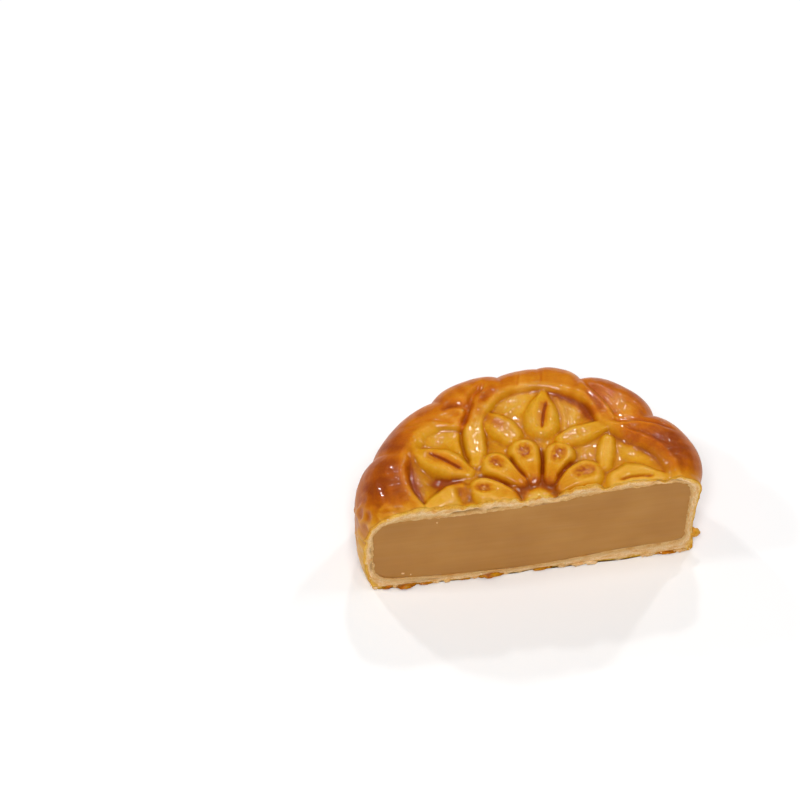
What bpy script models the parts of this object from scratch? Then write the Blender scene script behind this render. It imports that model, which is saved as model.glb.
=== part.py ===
"""Half of a lotus seed mooncake, cut straight through its middle.

The pastry shell is a moulded round loaf with twelve lobes. Its top carries a ten-petalled flower in the
middle, five round panels of leaves about it, and a raised rim. The lotus seed paste fills it and shows at
the cut. The cake is drawn in millimetres about its own axis, with X along the cut and Y away from it.
"""
import math

import bmesh
import bpy
import numpy as np
from mathutils import Matrix

MM = 0.001

# Driving sizes, in millimetres
CUT_TO_ORIGIN = 17.0
FLOOR_LEVEL = 32.0
GAP = 0.3
KNIFE_SIZE = 120.0
KNIFE_PRESS = 0.3
PRESS_REACH = 0.9
TAPER_HEIGHT = 15.0
SHARP_ANGLE = 40.0

# Plan outline: the creases between the lobes as direction and radius, and each lobe's rise between them
CREASES = (
    (-28.0, 38.8), (3.0, 39.7), (33.5, 38.7), (64.6, 38.7), (81.0, 40.1), (95.9, 38.8),
    (122.0, 39.5), (152.0, 42.2), (182.0, 41.0), (212.0, 39.0),
)
LOBE_RISES = (0.3, 2.5, 2.4, 1.3, 0.3, 1.6, 0.9, 2.2, 1.6)
LOBE_POWER = 3.0

# Sizes that change around the cake: directions in degrees, then the size at each of them
DIRECTIONS = (0.0, 60.0, 120.0, 150.0, 180.0)
SHOULDER_WIDTHS = (9.5, 8.0, 8.5, 11.5, 15.0)
SHOULDER_DROPS = (7.5, 7.5, 8.5, 10.5, 12.5)
FOOT_ROUNDS = (1.6, 2.2, 2.4, 2.2, 2.0)
FOOT_TAPERS = (0.2, 0.8, 1.2, 2.0, 2.6)
WAISTS = (1.2, 0.6, 0.3, 0.2, 0.0)

# Lotus seed paste inside the shell, as levels along X
SHELL_SIDE = 2.2
PASTE_LOBES = 0.6
PASTE_STATIONS = (-38.0, -20.0, 0.0, 20.0, 38.0)
PASTE_TOPS = (29.4, 28.3, 28.9, 31.3, 31.5)
PASTE_BOTTOMS = (4.6, 2.7, 2.3, 5.3, 6.6)
PASTE_SHOULDER_WIDTHS = (5.0, 6.0, 7.0, 7.5, 8.0)
PASTE_SHOULDER_DROPS = (4.5, 6.0, 7.0, 7.0, 6.5)
PASTE_FOOT_ROUNDS = (2.6, 3.0, 3.0, 4.0, 5.0)

# Moulded relief above the floor level of the panels
MEETING_SOFTNESS = 0.35
FADE_REACH = 0.18
CURVE_STEPS = 6
SEED_TIP = 5.0
SEED_TIP_WIDTH = 1.0
SEED_EDGE = 1.5
SEED_RIM = 1.1
SEED_HOLLOW = 0.5
SEED_HOLLOW_SLOPE = 0.8
SEEDS = (
    # direction, far end, half width, rise
    (-11.0, 16.4, 3.7, 3.2),
    (25.5, 16.7, 3.7, 2.3),
    (60.0, 16.2, 3.7, 2.1),
    (96.0, 16.2, 3.6, 2.0),
    (129.5, 16.2, 3.7, 1.9),
    (165.0, 17.4, 3.9, 1.8),
    (199.0, 16.6, 3.5, 1.5),
)
LEAF_ROUND = 0.7
LEAF_EDGE = 0.75
LEAVES = (
    # x, y, half length, half width, turn, rise
    (4.7, 22.0, 7.4, 4.4, 79.0, 2.4),
    (-5.5, 20.7, 5.9, 3.1, 133.0, 2.1),
    (11.2, 22.0, 4.6, 1.9, 98.0, 0.9),
    (14.8, 15.7, 6.9, 2.7, 20.0, 2.2),
    (-20.7, 12.9, 7.7, 3.9, 149.0, 2.5),
    (-22.8, 2.8, 6.6, 3.5, 157.0, 2.8),
    (24.0, 1.4, 8.0, 4.9, -4.0, 2.7),
    (17.9, 10.5, 5.0, 1.8, 67.0, 2.0),
    (23.3, 9.2, 4.9, 2.4, -35.0, 1.1),
)
SLIT_WIDTH = 0.55
SLIT_DEPTH = 0.9
SLITS = (
    ((4.0, 18.5), (6.3, 26.0)),
    ((-16.4, 9.8), (-24.0, 15.8)),
    ((19.5, 1.3), (27.7, 1.5)),
)
RIM_RADIUS = 31.6
RIM_RISE = 1.9
RIM_EDGE = 1.8
RIM_LIP = 0.35
RIM_LIP_PLACE = 0.8
RIM_LIP_SPREAD = 0.7
RIM_JOINTS = (
    # direction, how far the rim comes in there, spread
    (42.0, 5.6, 13.0),
    (114.0, 5.6, 11.0),
    (143.0, -1.2, 12.0),
    (178.0, 4.0, 11.0),
)
RIDGE_ENDS = 0.35
RIDGES = (
    # half width, rise, points
    (2.2, 2.4, ((-12.9, 12.6), (-12.9, 16.0), (-12.4, 20.0), (-10.9, 24.0), (-9.2, 27.6))),
    (1.2, 2.3, ((14.6, 28.4), (16.0, 26.0), (17.2, 23.2), (18.3, 20.2))),
    (1.2, 2.4, ((17.6, 28.6), (18.8, 26.0), (20.2, 23.2), (21.4, 20.6))),
    (1.5, 2.3, ((-27.0, 19.5), (-29.6, 15.0), (-30.6, 10.0), (-30.4, 5.0), (-29.4, 1.2), (-29.0, -3.0))),
)
GROOVE_ENDS = 0.2
GROOVES = (
    # spread, depth, points
    (1.0, 1.2, ((16.4, 33.5), (17.3, 29.6), (19.4, 26.0), (21.2, 22.4), (22.6, 19.0))),
    (0.8, 0.9, ((20.2, 17.7), (24.0, 17.2), (28.0, 16.7), (31.5, 15.9), (36.0, 14.0))),
    (1.1, 1.3, ((-8.0, 34.5), (-10.4, 31.2), (-11.9, 28.0), (-13.2, 25.2), (-14.8, 22.0))),
    (0.9, 0.9, ((-21.0, 27.6), (-17.0, 28.0), (-13.0, 27.6))),
    (0.8, 0.7, ((-36.4, 12.0), (-36.4, 8.0), (-35.4, 4.0), (-34.4, 1.2))),
    (0.8, 0.6, ((-27.6, 24.0), (-23.5, 25.6), (-19.0, 24.6), (-16.5, 23.6))),
)
BUTTON_CENTRE = (0.0, -0.3)
BUTTON_RADIUS = 3.4
BUTTON_RISE = 1.2
MOAT_RADIUS = 4.6
MOAT_SPREAD = 1.2
MOAT_DEPTH = 1.0

# Ragged flakes of the browned base that stick out under the cut: x, how far out, half length, thickness
FLAKES = (
    (-35.6, 0.5, 1.3, 1.5),
    (-31.4, 1.5, 3.0, 1.2),
    (-27.2, 0.6, 2.4, 1.0),
    (-16.6, 0.5, 2.6, 1.1),
    (-10.9, 1.4, 3.3, 1.3),
    (2.6, 0.6, 3.4, 1.0),
    (13.4, 0.7, 2.6, 1.2),
    (31.6, 0.5, 3.6, 1.1),
)
FLAKE_ROOT = 0.6
FLAKE_UNEVENNESS = 0.3
FLAKE_SEED = 5
SIDE_FLAKE = (39.4, 1.5, 4.8)
SIDE_FLAKE_HALF = (2.0, 1.6, 1.5)

# Mesh fineness
SPIN_STEPS = 420
TOP_RINGS = 90
SHOULDER_RINGS = 14
WALL_RINGS = 12
FOOT_RINGS = 4
BASE_RINGS = 2
CRUST_TRIANGLES = 9600
PASTE_SPIN_STEPS = 72
PASTE_TOP_RINGS = 5
PASTE_ROUND_RINGS = 5
PASTE_WALL_RINGS = 3

# Proportions of the plain block that every body starts from, and how far past the knife it reaches
BLOCK_SHOULDER = 0.2
BLOCK_FOOT = 0.1
BLOCK_MARGIN = 0.05
SAME_POINT = 1e-6
TOP_FLAT = 1 - BLOCK_SHOULDER
WALL_TOP = 1 - BLOCK_SHOULDER
BASE_FLAT = 1 - BLOCK_FOOT

# Colours from the photograph, linear, with roughness
CRUST_LOOK = ((0.46, 0.17, 0.02, 1.0), 0.35)
PASTE_LOOK = ((0.40, 0.19, 0.055, 1.0), 0.55)


def clear_scene():
    for obj in list(bpy.data.objects):
        bpy.data.objects.remove(obj, do_unlink=True)


def material(name, look):
    mat = bpy.data.materials.new(name)
    mat.use_nodes = True
    shader = mat.node_tree.nodes["Principled BSDF"]
    shader.inputs["Base Color"].default_value = look[0]
    shader.inputs["Roughness"].default_value = look[1]
    shader.inputs["Metallic"].default_value = 0.0
    return mat


def around(degrees, sizes):
    """A size that changes from direction to direction."""
    return np.interp(degrees, DIRECTIONS, sizes)


def outline(degrees, lobes=1.0):
    """Radius of the plan outline: lobes that meet in creases."""
    angles = np.array([angle for angle, radius in CREASES])
    radii = np.array([radius for angle, radius in CREASES])
    lobe = np.clip(np.searchsorted(angles, degrees) - 1, 0, len(LOBE_RISES) - 1)
    middle = (angles[lobe] + angles[lobe + 1]) / 2
    half = (angles[lobe + 1] - angles[lobe]) / 2
    across = np.clip(np.abs(degrees - middle) / half, 0.0, 1.0)
    rise = np.array(LOBE_RISES)[lobe] * (1.0 - across ** LOBE_POWER)
    return np.interp(degrees, angles, radii) + lobes * rise


def pillow(depth, edge, rise):
    """Height of a raised shape, rounded over its edge; depth is measured in from its outline."""
    return rise * np.sin(math.pi / 2 * np.clip(depth / edge, 0.0, 1.0))


def higher(a, b, soft=MEETING_SOFTNESS):
    """The higher of two heights, with a smooth meeting."""
    share = np.clip(0.5 + 0.5 * (a - b) / soft, 0.0, 1.0)
    return b + (a - b) * share + soft * share * (1.0 - share)


def turned(x, y, centre, degrees):
    """Coordinates along and across a direction through a centre."""
    a = math.radians(degrees)
    dx, dy = x - centre[0], y - centre[1]
    return dx * math.cos(a) + dy * math.sin(a), dy * math.cos(a) - dx * math.sin(a)


def seed_depth(x, y, degrees, far_end, half_width):
    """How far inside a drop shape a point lies: narrow near the flower's middle, round at the far end."""
    along, across = turned(x, y, (0.0, 0.0), degrees)
    along, across = along - SEED_TIP, np.abs(across)
    length = far_end - half_width - SEED_TIP
    lean = (half_width - SEED_TIP_WIDTH) / length
    level = math.sqrt(1.0 - lean ** 2)
    foot = along * level + across * lean
    side = SEED_TIP_WIDTH - (across * level - along * lean)
    near_tip = SEED_TIP_WIDTH - np.hypot(along, across)
    near_end = half_width - np.hypot(along - length, across)
    return np.where(foot < 0.0, near_tip, np.where(foot > length * level, near_end, side))


def leaf_depth(x, y, centre, half_length, half_width, degrees):
    """How far inside a leaf a point lies: two arcs that meet in rounded tips."""
    along, across = turned(x, y, centre, degrees)
    length, width = half_length - LEAF_ROUND, half_width - LEAF_ROUND
    radius = (length ** 2 + width ** 2) / (2 * width)
    return radius - np.hypot(along, np.abs(across) + radius - width) + LEAF_ROUND


def smooth_curve(points, steps=CURVE_STEPS):
    """Points of a smooth curve through the given ones."""
    p = np.array(points)
    p = np.vstack([2 * p[0] - p[1], p, 2 * p[-1] - p[-2]])
    t = np.arange(steps)[:, None] / steps
    parts = []
    for a, b, c, d in zip(p, p[1:], p[2:], p[3:]):
        bend = (2 * a - 5 * b + 4 * c - d) * t ** 2 + (3 * b - a - 3 * c + d) * t ** 3
        parts.append(0.5 * (2 * b + (c - a) * t + bend))
    return np.vstack(parts + [p[-2:-1]])


def curve_distance(x, y, points):
    """Distance to a curve, and the place along it from 0 to 1."""
    curve = smooth_curve(points)
    nearest = np.full(x.shape, np.inf)
    place = np.zeros(x.shape)
    for i, (start, end) in enumerate(zip(curve, curve[1:])):
        dx, dy = end - start
        t = np.clip(((x - start[0]) * dx + (y - start[1]) * dy) / (dx * dx + dy * dy), 0.0, 1.0)
        distance = np.hypot(x - start[0] - t * dx, y - start[1] - t * dy)
        place = np.where(distance < nearest, (i + t) / (len(curve) - 1), place)
        nearest = np.minimum(nearest, distance)
    return nearest, place


def fade_ends(place, least, reach=FADE_REACH):
    """Weight along a curve that falls to least at both ends."""
    return np.clip(least + np.minimum(place, 1.0 - place) / reach, 0.0, 1.0)


def groove(x, y, spread, depth, points):
    distance, place = curve_distance(x, y, points)
    return depth * fade_ends(place, GROOVE_ENDS) * np.exp(-(distance / spread) ** 2)


def rim_relief(x, y, degrees):
    """The raised rim beyond the panels, with a low lip along its inner edge."""
    edge = np.full(degrees.shape, RIM_RADIUS)
    for direction, inward, spread in RIM_JOINTS:
        edge -= inward * np.exp(-((degrees - direction) / spread) ** 2)
    beyond = np.hypot(x, y) - edge
    rim = pillow(beyond + RIM_EDGE / 2, RIM_EDGE, RIM_RISE)
    return rim + RIM_LIP * np.exp(-((beyond - RIM_LIP_PLACE) / RIM_LIP_SPREAD) ** 2)


def top_relief(x, y, degrees):
    """Height of the moulded top above the floor level of the panels."""
    z = rim_relief(x, y, degrees)
    for direction, far_end, half_width, rise in SEEDS:
        depth = seed_depth(x, y, direction, far_end, half_width)
        hollow = SEED_HOLLOW * np.clip((depth - SEED_RIM) / SEED_HOLLOW_SLOPE, 0.0, 1.0)
        z = higher(z, pillow(depth, SEED_EDGE, rise) - hollow)
    for cx, cy, half_length, half_width, turn, rise in LEAVES:
        depth = leaf_depth(x, y, (cx, cy), half_length, half_width, turn)
        z = higher(z, pillow(depth, LEAF_EDGE * half_width, rise))
    for half_width, rise, points in RIDGES:
        distance, place = curve_distance(x, y, points)
        z = higher(z, pillow(half_width - distance, half_width, rise) * fade_ends(place, RIDGE_ENDS))
    for slit in SLITS:
        z -= groove(x, y, SLIT_WIDTH, SLIT_DEPTH, slit)
    for spread, depth, points in GROOVES:
        z -= groove(x, y, spread, depth, points)
    from_button = np.hypot(x - BUTTON_CENTRE[0], y - BUTTON_CENTRE[1])
    beyond_moat = np.maximum(from_button - MOAT_RADIUS, 0.0)
    z -= MOAT_DEPTH * np.exp(-(beyond_moat / MOAT_SPREAD) ** 2)
    return z + pillow(BUTTON_RADIUS - from_button, BUTTON_RADIUS, BUTTON_RISE)


def block_profile(top_rings, shoulder_rings, wall_rings, foot_rings, base_rings):
    """Half section of a plain round block of radius 1 and height 1, from the base's middle to the top's."""
    points = [(BASE_FLAT * i / base_rings, 0.0) for i in range(base_rings)]
    for i in range(foot_rings):
        a = math.pi / 2 * i / foot_rings
        points.append((1 - BLOCK_FOOT * (1 - math.sin(a)), BLOCK_FOOT * (1 - math.cos(a))))
    for i in range(wall_rings):
        points.append((1.0, BLOCK_FOOT + (WALL_TOP - BLOCK_FOOT) * i / wall_rings))
    for i in range(shoulder_rings):
        a = math.pi / 2 * i / shoulder_rings
        points.append((1 - BLOCK_SHOULDER * (1 - math.cos(a)), 1 - BLOCK_SHOULDER * (1 - math.sin(a))))
    for i in range(top_rings + 1):
        points.append((TOP_FLAT * (1 - i / top_rings), 1.0))
    return points


def spun_block(profile, steps):
    """The profile turned about Z, less most of what the knife takes away, as a closed mesh."""
    bm = bmesh.new()
    verts = [bm.verts.new((r, 0.0, z)) for r, z in profile]
    edges = [bm.edges.new(pair) for pair in zip(verts, verts[1:])]
    bmesh.ops.rotate(bm, verts=verts, matrix=Matrix.Rotation(math.pi / steps, 3, "Z"))
    bmesh.ops.spin(bm, geom=verts + edges, cent=(0, 0, 0), axis=(0, 0, 1), angle=2 * math.pi,
                   steps=steps, use_merge=True)
    bmesh.ops.remove_doubles(bm, verts=bm.verts, dist=SAME_POINT)
    everything = bm.verts[:] + bm.edges[:] + bm.faces[:]
    bmesh.ops.bisect_plane(bm, geom=everything, plane_co=(0, -BLOCK_MARGIN, 0), plane_no=(0, -1, 0),
                           clear_outer=True)
    bmesh.ops.holes_fill(bm, edges=bm.edges)
    bmesh.ops.recalc_face_normals(bm, faces=bm.faces)
    return in_fixed_order(bm)


def in_fixed_order(bm):
    """The same mesh in triangles, sorted by place, because the operators keep no fixed order."""
    verts = sorted(bm.verts, key=lambda vert: vert.co[:])
    rank = {vert: i for i, vert in enumerate(verts)}
    loops = [[rank[vert] for vert in face.verts] for face in bm.faces]
    starts = [loop.index(min(loop)) for loop in loops]
    ordered = bmesh.new()
    points = [ordered.verts.new(vert.co) for vert in verts]
    for loop in sorted(loop[start:] + loop[:start] for loop, start in zip(loops, starts)):
        ordered.faces.new([points[i] for i in loop])
    bm.free()
    bmesh.ops.triangulate(ordered, faces=ordered.faces, quad_method="FIXED")
    return ordered


def block_coordinates(bm):
    """Direction in degrees, radius and height of each point of a plain block."""
    points = np.array([v.co for v in bm.verts])
    degrees = np.degrees(np.arctan2(points[:, 1], points[:, 0]))
    degrees = np.where(degrees < -90.0, degrees + 360.0, degrees)
    return degrees, np.hypot(points[:, 0], points[:, 1]), points[:, 2]


def stretched_radius(radius, height, rho, shoulder, foot):
    """Radius on the shaped body: rho is the outline, shoulder and foot are the widths of the rounds."""
    on_shoulder = rho - shoulder * (1.0 - (radius - TOP_FLAT) / BLOCK_SHOULDER)
    on_foot = rho - foot * (1.0 - (radius - BASE_FLAT) / BLOCK_FOOT)
    top = np.where(radius <= TOP_FLAT, radius / TOP_FLAT * (rho - shoulder), on_shoulder)
    base = np.where(radius <= BASE_FLAT, radius / BASE_FLAT * (rho - foot), on_foot)
    return np.where(height >= WALL_TOP, top, np.where(height <= BLOCK_FOOT, base, rho))


def stretched_height(height, low, high, drop, foot):
    """Height on the shaped body, between its own low and high levels."""
    wall = low + foot + (high - drop - low - foot) * (height - BLOCK_FOOT) / (WALL_TOP - BLOCK_FOOT)
    top = high - drop * (1.0 - height) / BLOCK_SHOULDER
    base = low + foot * height / BLOCK_FOOT
    return np.where(height >= WALL_TOP, top, np.where(height <= BLOCK_FOOT, base, wall))


def finished_object(name, bm, x, y, z, parent):
    """Write the points back in metres and make the object, shaded smooth but for its sharp edges."""
    for vert, co in zip(bm.verts, np.column_stack([x, y, z]) * MM):
        vert.co = co
    mesh = bpy.data.meshes.new(name)
    bm.to_mesh(mesh)
    bm.free()
    mesh.shade_smooth()
    mesh.set_sharp_from_angle(angle=math.radians(SHARP_ANGLE))
    return placed(bpy.data.objects.new(name, mesh), parent)


def placed(obj, parent, collection=None):
    obj.parent = parent
    (collection or bpy.context.scene.collection).objects.link(obj)
    return obj


def crust_body(parent):
    """The outside of the pastry: lobed wall, rounded shoulder and moulded top, before the knife."""
    profile = block_profile(TOP_RINGS, SHOULDER_RINGS, WALL_RINGS, FOOT_RINGS, BASE_RINGS)
    bm = spun_block(profile, SPIN_STEPS)
    degrees, radius, height = block_coordinates(bm)
    rho = outline(degrees)
    foot = around(degrees, FOOT_ROUNDS)
    drop = around(degrees, SHOULDER_DROPS)
    r = stretched_radius(radius, height, rho, around(degrees, SHOULDER_WIDTHS), foot)
    level = FLOOR_LEVEL + RIM_RISE
    z = stretched_height(height, 0.0, level, drop, foot)
    # The wall draws in towards the foot, and a little at its waist
    low_down = np.clip(1.0 - z / TAPER_HEIGHT, 0.0, 1.0)
    waist = np.sin(np.pi * np.clip(z / (level - drop), 0.0, 1.0))
    r *= 1.0 - (around(degrees, FOOT_TAPERS) * low_down ** 2 + around(degrees, WAISTS) * waist) / rho
    turn = np.radians(degrees)
    x, y = r * np.cos(turn), r * np.sin(turn)
    # The relief lies on the top and dies away down the shoulder, and the knife has pressed the edge down
    down_shoulder = np.clip((radius - TOP_FLAT) / BLOCK_SHOULDER, 0.0, 1.0)
    weight = np.where(height >= WALL_TOP, 1.0 - down_shoulder ** 2, 0.0)
    pressed = KNIFE_PRESS * np.exp(-np.maximum(y, 0.0) / PRESS_REACH)
    z += weight * (top_relief(x, y, degrees) - RIM_RISE - pressed)
    return finished_object("crust", bm, x, y, z, parent)


def paste_body(name, parent, growth):
    """The filling before the knife, or with some growth the hollow that it lies in."""
    rings = (PASTE_TOP_RINGS, PASTE_ROUND_RINGS, PASTE_WALL_RINGS, PASTE_ROUND_RINGS, BASE_RINGS)
    profile = block_profile(*rings)
    bm = spun_block(profile, PASTE_SPIN_STEPS)
    degrees, radius, height = block_coordinates(bm)
    rho = outline(degrees, PASTE_LOBES) - SHELL_SIDE - around(degrees, WAISTS) + growth
    foot = around(degrees, PASTE_FOOT_ROUNDS)
    r = stretched_radius(radius, height, rho, around(degrees, PASTE_SHOULDER_WIDTHS), foot)
    turn = np.radians(degrees)
    x, y = r * np.cos(turn), r * np.sin(turn)
    low = np.interp(x, PASTE_STATIONS, PASTE_BOTTOMS) - growth
    high = np.interp(x, PASTE_STATIONS, PASTE_TOPS) + growth
    z = stretched_height(height, low, high, around(degrees, PASTE_SHOULDER_DROPS), foot)
    return finished_object(name, bm, x, y, z, parent)


def lump(name, centre, half_sizes, parent, collection, rng):
    """A crumb with an uneven skin."""
    bm = bmesh.new()
    bmesh.ops.create_icosphere(bm, subdivisions=2, radius=1.0)
    for vert in bm.verts:
        vert.co *= 1.0 + rng.uniform(-FLAKE_UNEVENNESS, 0.0)
    bmesh.ops.scale(bm, verts=bm.verts, vec=[s * MM for s in half_sizes])
    bmesh.ops.translate(bm, verts=bm.verts, vec=[c * MM for c in centre])
    mesh = bpy.data.meshes.new(name)
    bm.to_mesh(mesh)
    bm.free()
    return as_cutter(placed(bpy.data.objects.new(name, mesh), parent, collection))


def flake_collection(parent):
    """The flakes along the bottom of the cut, and the one at its right side."""
    collection = bpy.data.collections.new("flakes")
    bpy.context.scene.collection.children.link(collection)
    rng = np.random.default_rng(FLAKE_SEED)
    for i, (x, out, half_length, thickness) in enumerate(FLAKES):
        half_sizes = (half_length, out + FLAKE_ROOT, thickness / 2)
        lump(f"flake_{i}", (x, FLAKE_ROOT, thickness / 2), half_sizes, parent, collection, rng)
    lump("flake_side", SIDE_FLAKE, SIDE_FLAKE_HALF, parent, collection, rng)
    return collection


def as_cutter(obj):
    obj.hide_render = True
    obj.display_type = "WIRE"
    return obj


def knife_box(parent):
    """A block whose one face is the plane of the cut."""
    bm = bmesh.new()
    bmesh.ops.create_cube(bm, size=KNIFE_SIZE * MM)
    bmesh.ops.translate(bm, verts=bm.verts, vec=(0, -KNIFE_SIZE / 2 * MM, 0))
    mesh = bpy.data.meshes.new("knife")
    bm.to_mesh(mesh)
    bm.free()
    return as_cutter(placed(bpy.data.objects.new("knife", mesh), parent))


def add_boolean(obj, name, operation, cutter=None, collection=None):
    mod = obj.modifiers.new(name, "BOOLEAN")
    mod.operation = operation
    mod.solver = "EXACT"
    if collection:
        mod.operand_type = "COLLECTION"
        mod.collection = collection
    else:
        mod.object = cutter


def main():
    clear_scene()
    axis = placed(bpy.data.objects.new("cake_axis", None), None)
    axis.location = (0.0, -CUT_TO_ORIGIN * MM, 0.0)
    knife = knife_box(axis)

    crust = crust_body(axis)
    crust.data.materials.append(material("baked_crust", CRUST_LOOK))
    thin = crust.modifiers.new("fewer_faces", "DECIMATE")
    thin.ratio = CRUST_TRIANGLES / len(crust.data.polygons)
    add_boolean(crust, "cut", "DIFFERENCE", cutter=knife)
    hollow = as_cutter(paste_body("hollow", axis, GAP))
    add_boolean(crust, "hollow", "DIFFERENCE", cutter=hollow)
    add_boolean(crust, "flakes", "UNION", collection=flake_collection(axis))

    paste = paste_body("lotus_paste", axis, 0.0)
    paste.data.materials.append(material("lotus_seed_paste", PASTE_LOOK))
    add_boolean(paste, "cut", "DIFFERENCE", cutter=knife)


main()
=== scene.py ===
# %% [markdown]
# # Half of a lotus seed mooncake
# A mooncake is a ball of lotus seed paste wrapped in soft pastry, pressed into a carved mould, turned out,
# brushed with egg and baked. Here one has been cut through its middle. The lesson builds what the eye sees:
# the moulded, glazed skin, the pale crumb along the cut, the smooth paste and a few crumbs. The solids that
# carry the part's size and weight are already there, and the two large pieces below take their places.

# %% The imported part
import math
from functools import partial

import bmesh
import bpy
import numpy as np
from mathutils import Matrix, Vector, noise
from mathutils.kdtree import KDTree


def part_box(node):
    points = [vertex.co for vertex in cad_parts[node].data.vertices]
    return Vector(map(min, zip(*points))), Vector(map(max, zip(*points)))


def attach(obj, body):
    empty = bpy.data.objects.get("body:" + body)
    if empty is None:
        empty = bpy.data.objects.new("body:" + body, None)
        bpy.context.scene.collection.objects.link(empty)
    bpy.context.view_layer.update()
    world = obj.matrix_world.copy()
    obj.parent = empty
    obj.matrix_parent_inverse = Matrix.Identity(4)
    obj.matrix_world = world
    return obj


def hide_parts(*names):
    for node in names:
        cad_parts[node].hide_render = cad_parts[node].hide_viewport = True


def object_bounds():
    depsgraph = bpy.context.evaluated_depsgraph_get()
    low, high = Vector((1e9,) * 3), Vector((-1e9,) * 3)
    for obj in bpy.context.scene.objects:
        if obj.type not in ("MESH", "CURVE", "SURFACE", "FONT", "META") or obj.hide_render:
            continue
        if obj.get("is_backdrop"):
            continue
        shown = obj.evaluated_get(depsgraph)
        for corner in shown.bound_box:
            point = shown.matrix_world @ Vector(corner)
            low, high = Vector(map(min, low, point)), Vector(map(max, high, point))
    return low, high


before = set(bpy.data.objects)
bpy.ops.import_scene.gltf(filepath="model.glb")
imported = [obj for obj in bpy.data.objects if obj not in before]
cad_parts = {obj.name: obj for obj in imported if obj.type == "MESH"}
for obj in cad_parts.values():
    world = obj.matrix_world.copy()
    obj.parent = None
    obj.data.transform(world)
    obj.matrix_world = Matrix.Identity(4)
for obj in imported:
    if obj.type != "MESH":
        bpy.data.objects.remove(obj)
cad_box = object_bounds()
MM = 0.001
CUT_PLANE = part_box("lotus_paste")[0].y / MM
print("cut plane at", round(CUT_PLANE, 2), "mm, solids:", sorted(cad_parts))

# %% [markdown]
# ## The camera
# The photograph was taken from a little left of straight on, looking steeply down, with a long lens that
# keeps the cut face nearly undistorted. All is measured from the cake's own axis at the cut, so the camera
# is set back from that point along the line of sight, and then moved sideways until the point falls where it
# does in the picture.

# %% The camera
LENS, SENSOR, FRAME_WIDTH = 135, 36, 800
CAMERA_AZIMUTH, CAMERA_ELEVATION, CAMERA_DISTANCE = -8.354, 54.349, 729.6
AXIS_RIGHT_PIXELS, AXIS_DOWN_PIXELS = 134.4, 168.5
AXIS_POINT = Vector((0, CUT_PLANE, 1))


def direction(azimuth, elevation):
    """Direction away from the cake; azimuth 0 is in front of the cut and 90 at its right."""
    a, e = math.radians(azimuth), math.radians(elevation)
    return Vector((math.sin(a) * math.cos(e), -math.cos(a) * math.cos(e), math.sin(e)))


def add_object(name, data):
    obj = bpy.data.objects.new(name, data)
    bpy.context.scene.collection.objects.link(obj)
    return obj


back = direction(CAMERA_AZIMUTH, CAMERA_ELEVATION)
right = Vector((math.cos(math.radians(CAMERA_AZIMUTH)), math.sin(math.radians(CAMERA_AZIMUTH)), 0))
up = back.cross(right)
pixel = CAMERA_DISTANCE * SENSOR / LENS / FRAME_WIDTH
camera_data = bpy.data.cameras.new("camera")
camera_data.lens, camera_data.sensor_width = LENS, SENSOR
camera = add_object("camera", camera_data)
place = AXIS_POINT - right * AXIS_RIGHT_PIXELS * pixel + up * AXIS_DOWN_PIXELS * pixel + back * CAMERA_DISTANCE
camera.matrix_world = Matrix.Translation(place * MM) @ Matrix((right, up, back)).transposed().to_4x4()
bpy.context.scene.camera = camera
print("one pixel of the photograph is", round(pixel, 3), "mm at the cut")

# %% [markdown]
# ## The light
# One large soft source in front and above gives the picture its shading, on top of a weak even light. The
# sharp glints in the egg come from small bright sources. Where the real ones stood is unknown, so each small
# lamp here is aimed at the slopes that face one way: left, right, flat or tilted to the camera. Its size sets
# how large a glint gets, and its watts are kept low, because they brighten the whole cake too.

# %% The light
WORLD_STRENGTH = 0.12
LAMP_DISTANCE = 0.9
LAMPS = (
    # azimuth, elevation, width in metres, watts
    (-14, 60, 0.22, 4.35),
    (135, 38, 0.045, 1.2),
    (-142, 43, 0.045, 1.15),
    (168, 57, 0.045, 1),
    (10, 83, 0.05, 0.6),
    (-95, 50, 0.07, 1.2),
    (85, 50, 0.2, 0.9),
)

for i, (azimuth, elevation, width, watts) in enumerate(LAMPS):
    out = direction(azimuth, elevation)
    data = bpy.data.lights.new(f"soft_box_{i + 1}", "AREA")
    data.shape, data.size, data.energy = "SQUARE", width, watts
    soft_box = add_object(data.name, data)
    soft_box.location = out * LAMP_DISTANCE
    soft_box.rotation_euler = (-out).to_track_quat("-Z", "Y").to_euler()
world = bpy.context.scene.world or bpy.data.worlds.new("even_light")
bpy.context.scene.world = world
world.use_nodes = True
even_light = world.node_tree.nodes["Background"]
even_light.inputs["Color"].default_value = (1, 1, 1, 1)
even_light.inputs["Strength"].default_value = WORLD_STRENGTH
bpy.context.scene.view_settings.view_transform = "Standard"
print(len(LAMPS), "soft boxes and a weak even light")

# %% [markdown]
# ## Colours and materials
# Colours are written as sRGB hex values, the way that a picture shows them, and turned to linear once. A
# material is a small graph, so one helper adds a node with its settings and its links. The first use is the
# floor, a plain pale sheet that belongs to the stage, not to the cake.

# %% Helpers for materials and pieces, and the floor
FLOOR_SIZE = 3


def linear(hex_colour):
    """Linear colour of an sRGB hex value such as DFA13C."""
    channels = [int(hex_colour[i:i + 2], 16) / 255 for i in (0, 2, 4)]
    return [c / 12.92 if c <= 0.04045 else ((c + 0.055) / 1.055) ** 2.4 for c in channels] + [1]


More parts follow.
